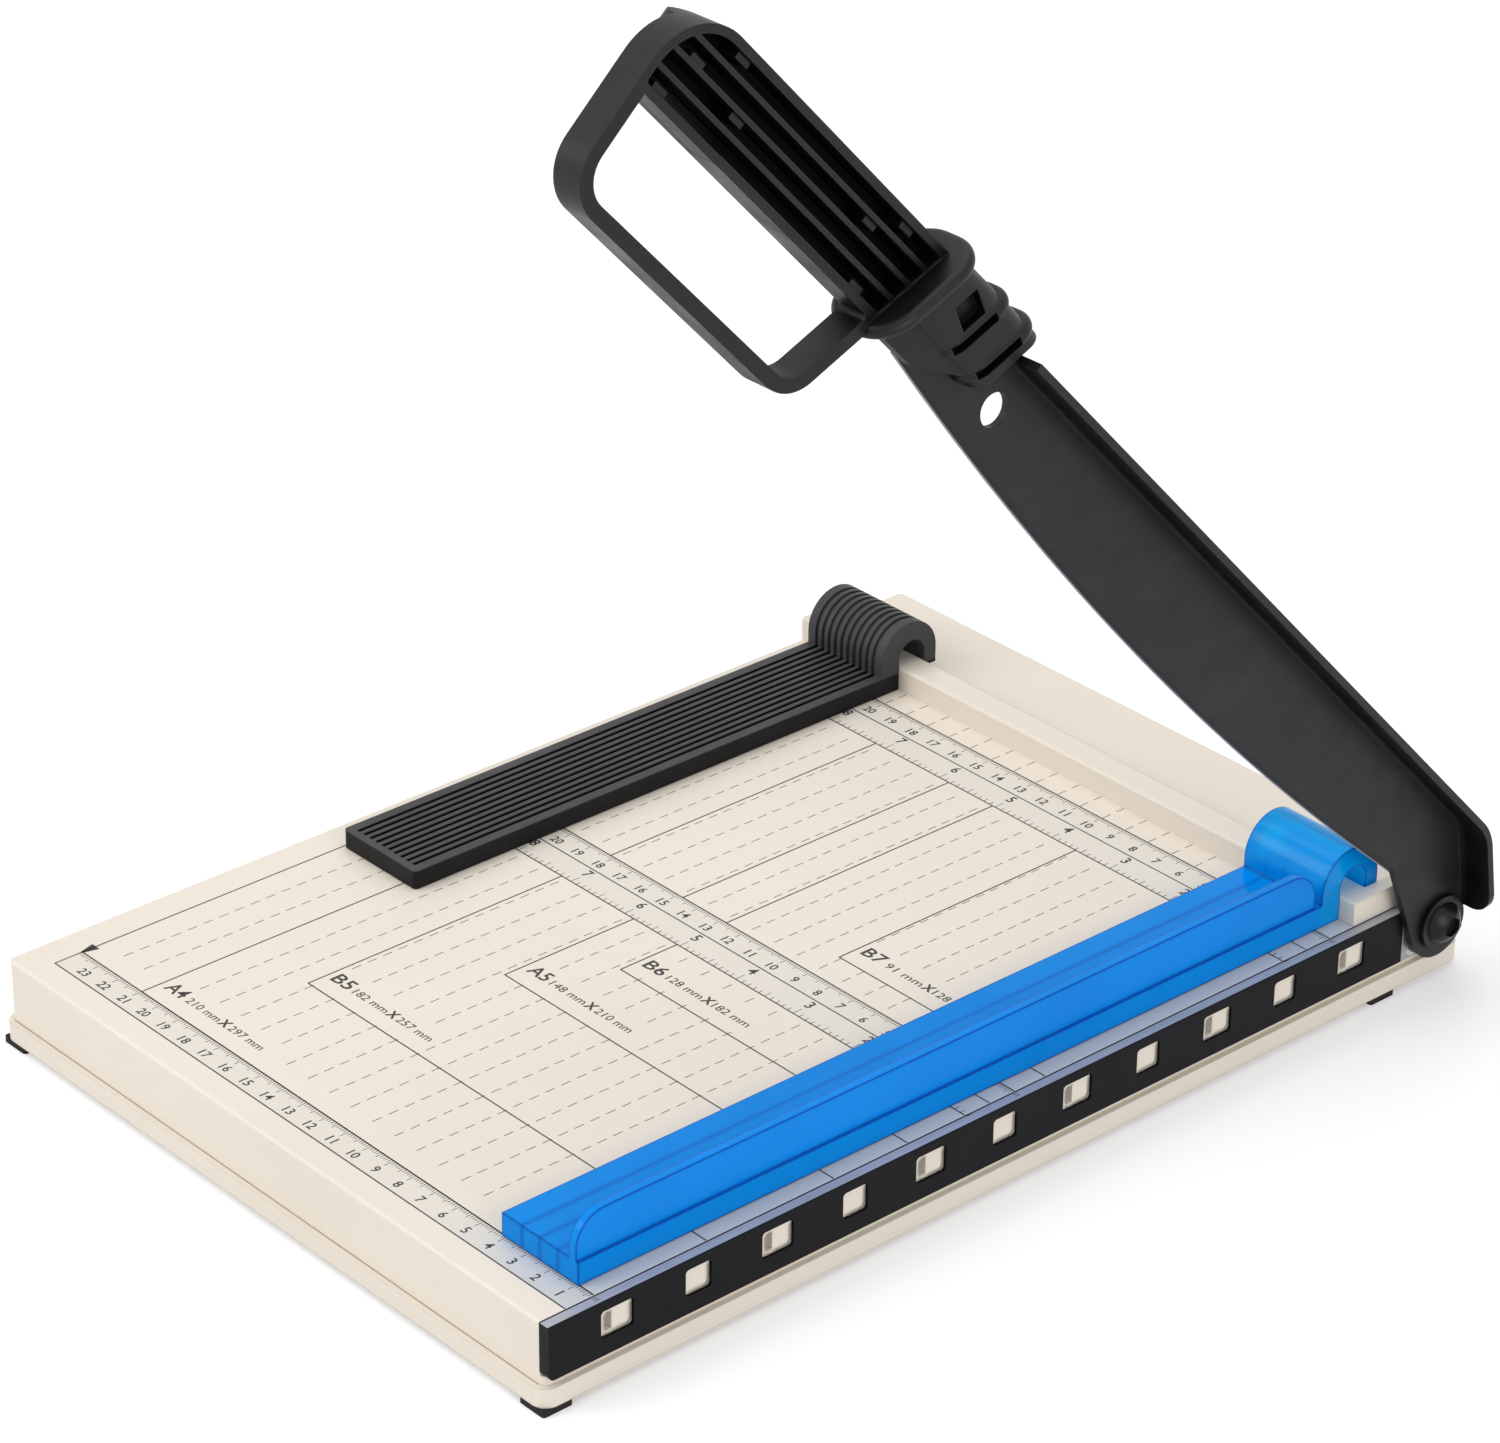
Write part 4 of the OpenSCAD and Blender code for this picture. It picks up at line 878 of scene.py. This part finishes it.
class CUTTER_OT_stage(bpy.types.Operator):
    """Set up the floor, the lamps and the camera"""

    bl_idname = "cutter.stage"
    bl_label = "Stage"

    def execute(self, context):
        stage = context.scene.cutter_stage
        self.floor(context, stage)
        self.world(context, stage)
        for name, (side, spot, aim) in LAMPS.items():
            self.lamp(context, name, getattr(stage, name), side, spot, aim)
        self.camera(context, stage)
        context.scene.view_settings.view_transform = "Standard"
        return {"FINISHED"}

    def seen(self, tree):
        """1 for a ray from the camera, a mirror or clear plastic."""
        path = add(tree, "LightPath")
        shiny = math_node(tree, "MAXIMUM", path.outputs["Is Glossy Ray"], path.outputs["Is Transmission Ray"])
        return math_node(tree, "MAXIMUM", path.outputs["Is Camera Ray"], shiny)

    def floor(self, context, stage):
        ground = bmesh.new()
        half = stage.floor_size / 2
        bmesh.ops.create_grid(ground, x_segments=FLOOR_CELLS, y_segments=FLOOR_CELLS, size=half)
        data = bpy.data.meshes.new("studio_floor")
        ground.to_mesh(data)
        ground.free()
        material, tree, shader = new_material("studio_floor")
        shader.inputs["Base Color"].default_value = (*stage.floor, 1.0)
        shader.inputs["Roughness"].default_value = 1.0
        shader.inputs["Specular IOR Level"].default_value = 0.0
        shader.inputs["Emission Color"].default_value = (1.0, 1.0, 1.0, 1.0)
        reach = add(tree, "VectorMath")
        reach.operation = "LENGTH"
        tree.links.new(place(tree), reach.inputs[0])
        far = reach.outputs["Value"]
        glow = spread(tree, far, stage.glow_from, stage.glow_to, stage.floor_glow, stage.far_glow)
        tree.links.new(math_node(tree, "MULTIPLY", self.seen(tree), glow), shader.inputs["Emission Strength"])
        data.materials.append(material)
        piece = bpy.data.objects.new("studio_floor", data)
        context.scene.collection.objects.link(piece)

    def world(self, context, stage):
        world = bpy.data.worlds.new("studio")
        world.use_nodes = True
        tree = world.node_tree
        back = tree.nodes["Background"]
        back.inputs["Color"].default_value = (1.0, 1.0, 1.0, 1.0)
        strength = spread(tree, self.seen(tree), 0.0, 1.0, stage.ambient, 1.0)
        tree.links.new(strength, back.inputs["Strength"])
        context.scene.world = world

    def lamp(self, context, name, power, side, spot, aim):
        light = bpy.data.lights.new(name, "AREA")
        light.energy = power
        light.size = side
        holder = bpy.data.objects.new(name, light)
        holder.location = spot
        holder.rotation_euler = (Vector(aim) - Vector(spot)).to_track_quat("-Z", "Y").to_euler()
        context.scene.collection.objects.link(holder)

    def camera(self, context, stage):
        data = bpy.data.cameras.new("photo_camera")
        data.sensor_width = FILM_WIDTH
        data.lens = stage.lens
        data.clip_start, data.clip_end = CLIP
        holder = bpy.data.objects.new("photo_camera", data)
        yaw = Matrix.Rotation(math.radians(CAMERA_YAW), 4, "Z")
        tilt = Matrix.Rotation(math.radians(90.0 - CAMERA_PITCH), 4, "X")
        roll = Matrix.Rotation(math.radians(CAMERA_ROLL), 4, "Z")
        holder.matrix_world = Matrix.Translation(CAMERA_PLACE) @ yaw @ tilt @ roll
        context.scene.collection.objects.link(holder)
        context.scene.camera = holder


OPERATORS = (
    CUTTER_OT_base_finish,
    CUTTER_OT_blade_finish,
    CUTTER_OT_arm_finish,
    CUTTER_OT_guide_finish,
    CUTTER_OT_rulers,
    CUTTER_OT_sheets,
    CUTTER_OT_dashes,
    CUTTER_OT_grip_details,
    CUTTER_OT_stage,
)


class CUTTER_PT_panel(bpy.types.Panel):
    """Lists the cutter's steps and settings"""

    bl_idname = "CUTTER_PT_panel"
    bl_label = "Paper Cutter"
    bl_space_type = "VIEW_3D"
    bl_region_type = "UI"
    bl_category = "Paper Cutter"

    def draw(self, context):
        for step in OPERATORS:
            self.layout.operator(step.bl_idname)
        for group in (context.scene.cutter_finish, context.scene.cutter_print, context.scene.cutter_stage):
            box = self.layout.box()
            for name in group.__annotations__:
                box.prop(group, name)


CLASSES = (CutterFinish, CutterPrint, CutterStage, *OPERATORS, CUTTER_PT_panel)


def register():
    for item in CLASSES:
        bpy.utils.register_class(item)
    bpy.types.Scene.cutter_finish = PointerProperty(type=CutterFinish)
    bpy.types.Scene.cutter_print = PointerProperty(type=CutterPrint)
    bpy.types.Scene.cutter_stage = PointerProperty(type=CutterStage)


def unregister():
    del bpy.types.Scene.cutter_stage
    del bpy.types.Scene.cutter_print
    del bpy.types.Scene.cutter_finish
    for item in reversed(CLASSES):
        bpy.utils.unregister_class(item)


def main():
    register()
    bpy.ops.cutter.base_finish()
    bpy.ops.cutter.blade_finish()
    bpy.ops.cutter.arm_finish()
    bpy.ops.cutter.guide_finish()
    bpy.ops.cutter.rulers()
    bpy.ops.cutter.sheets()
    bpy.ops.cutter.dashes()
    bpy.ops.cutter.grip_details()
    bpy.ops.cutter.stage()
    bpy.context.view_layer.update()


if __name__ == "__main__":
    main()
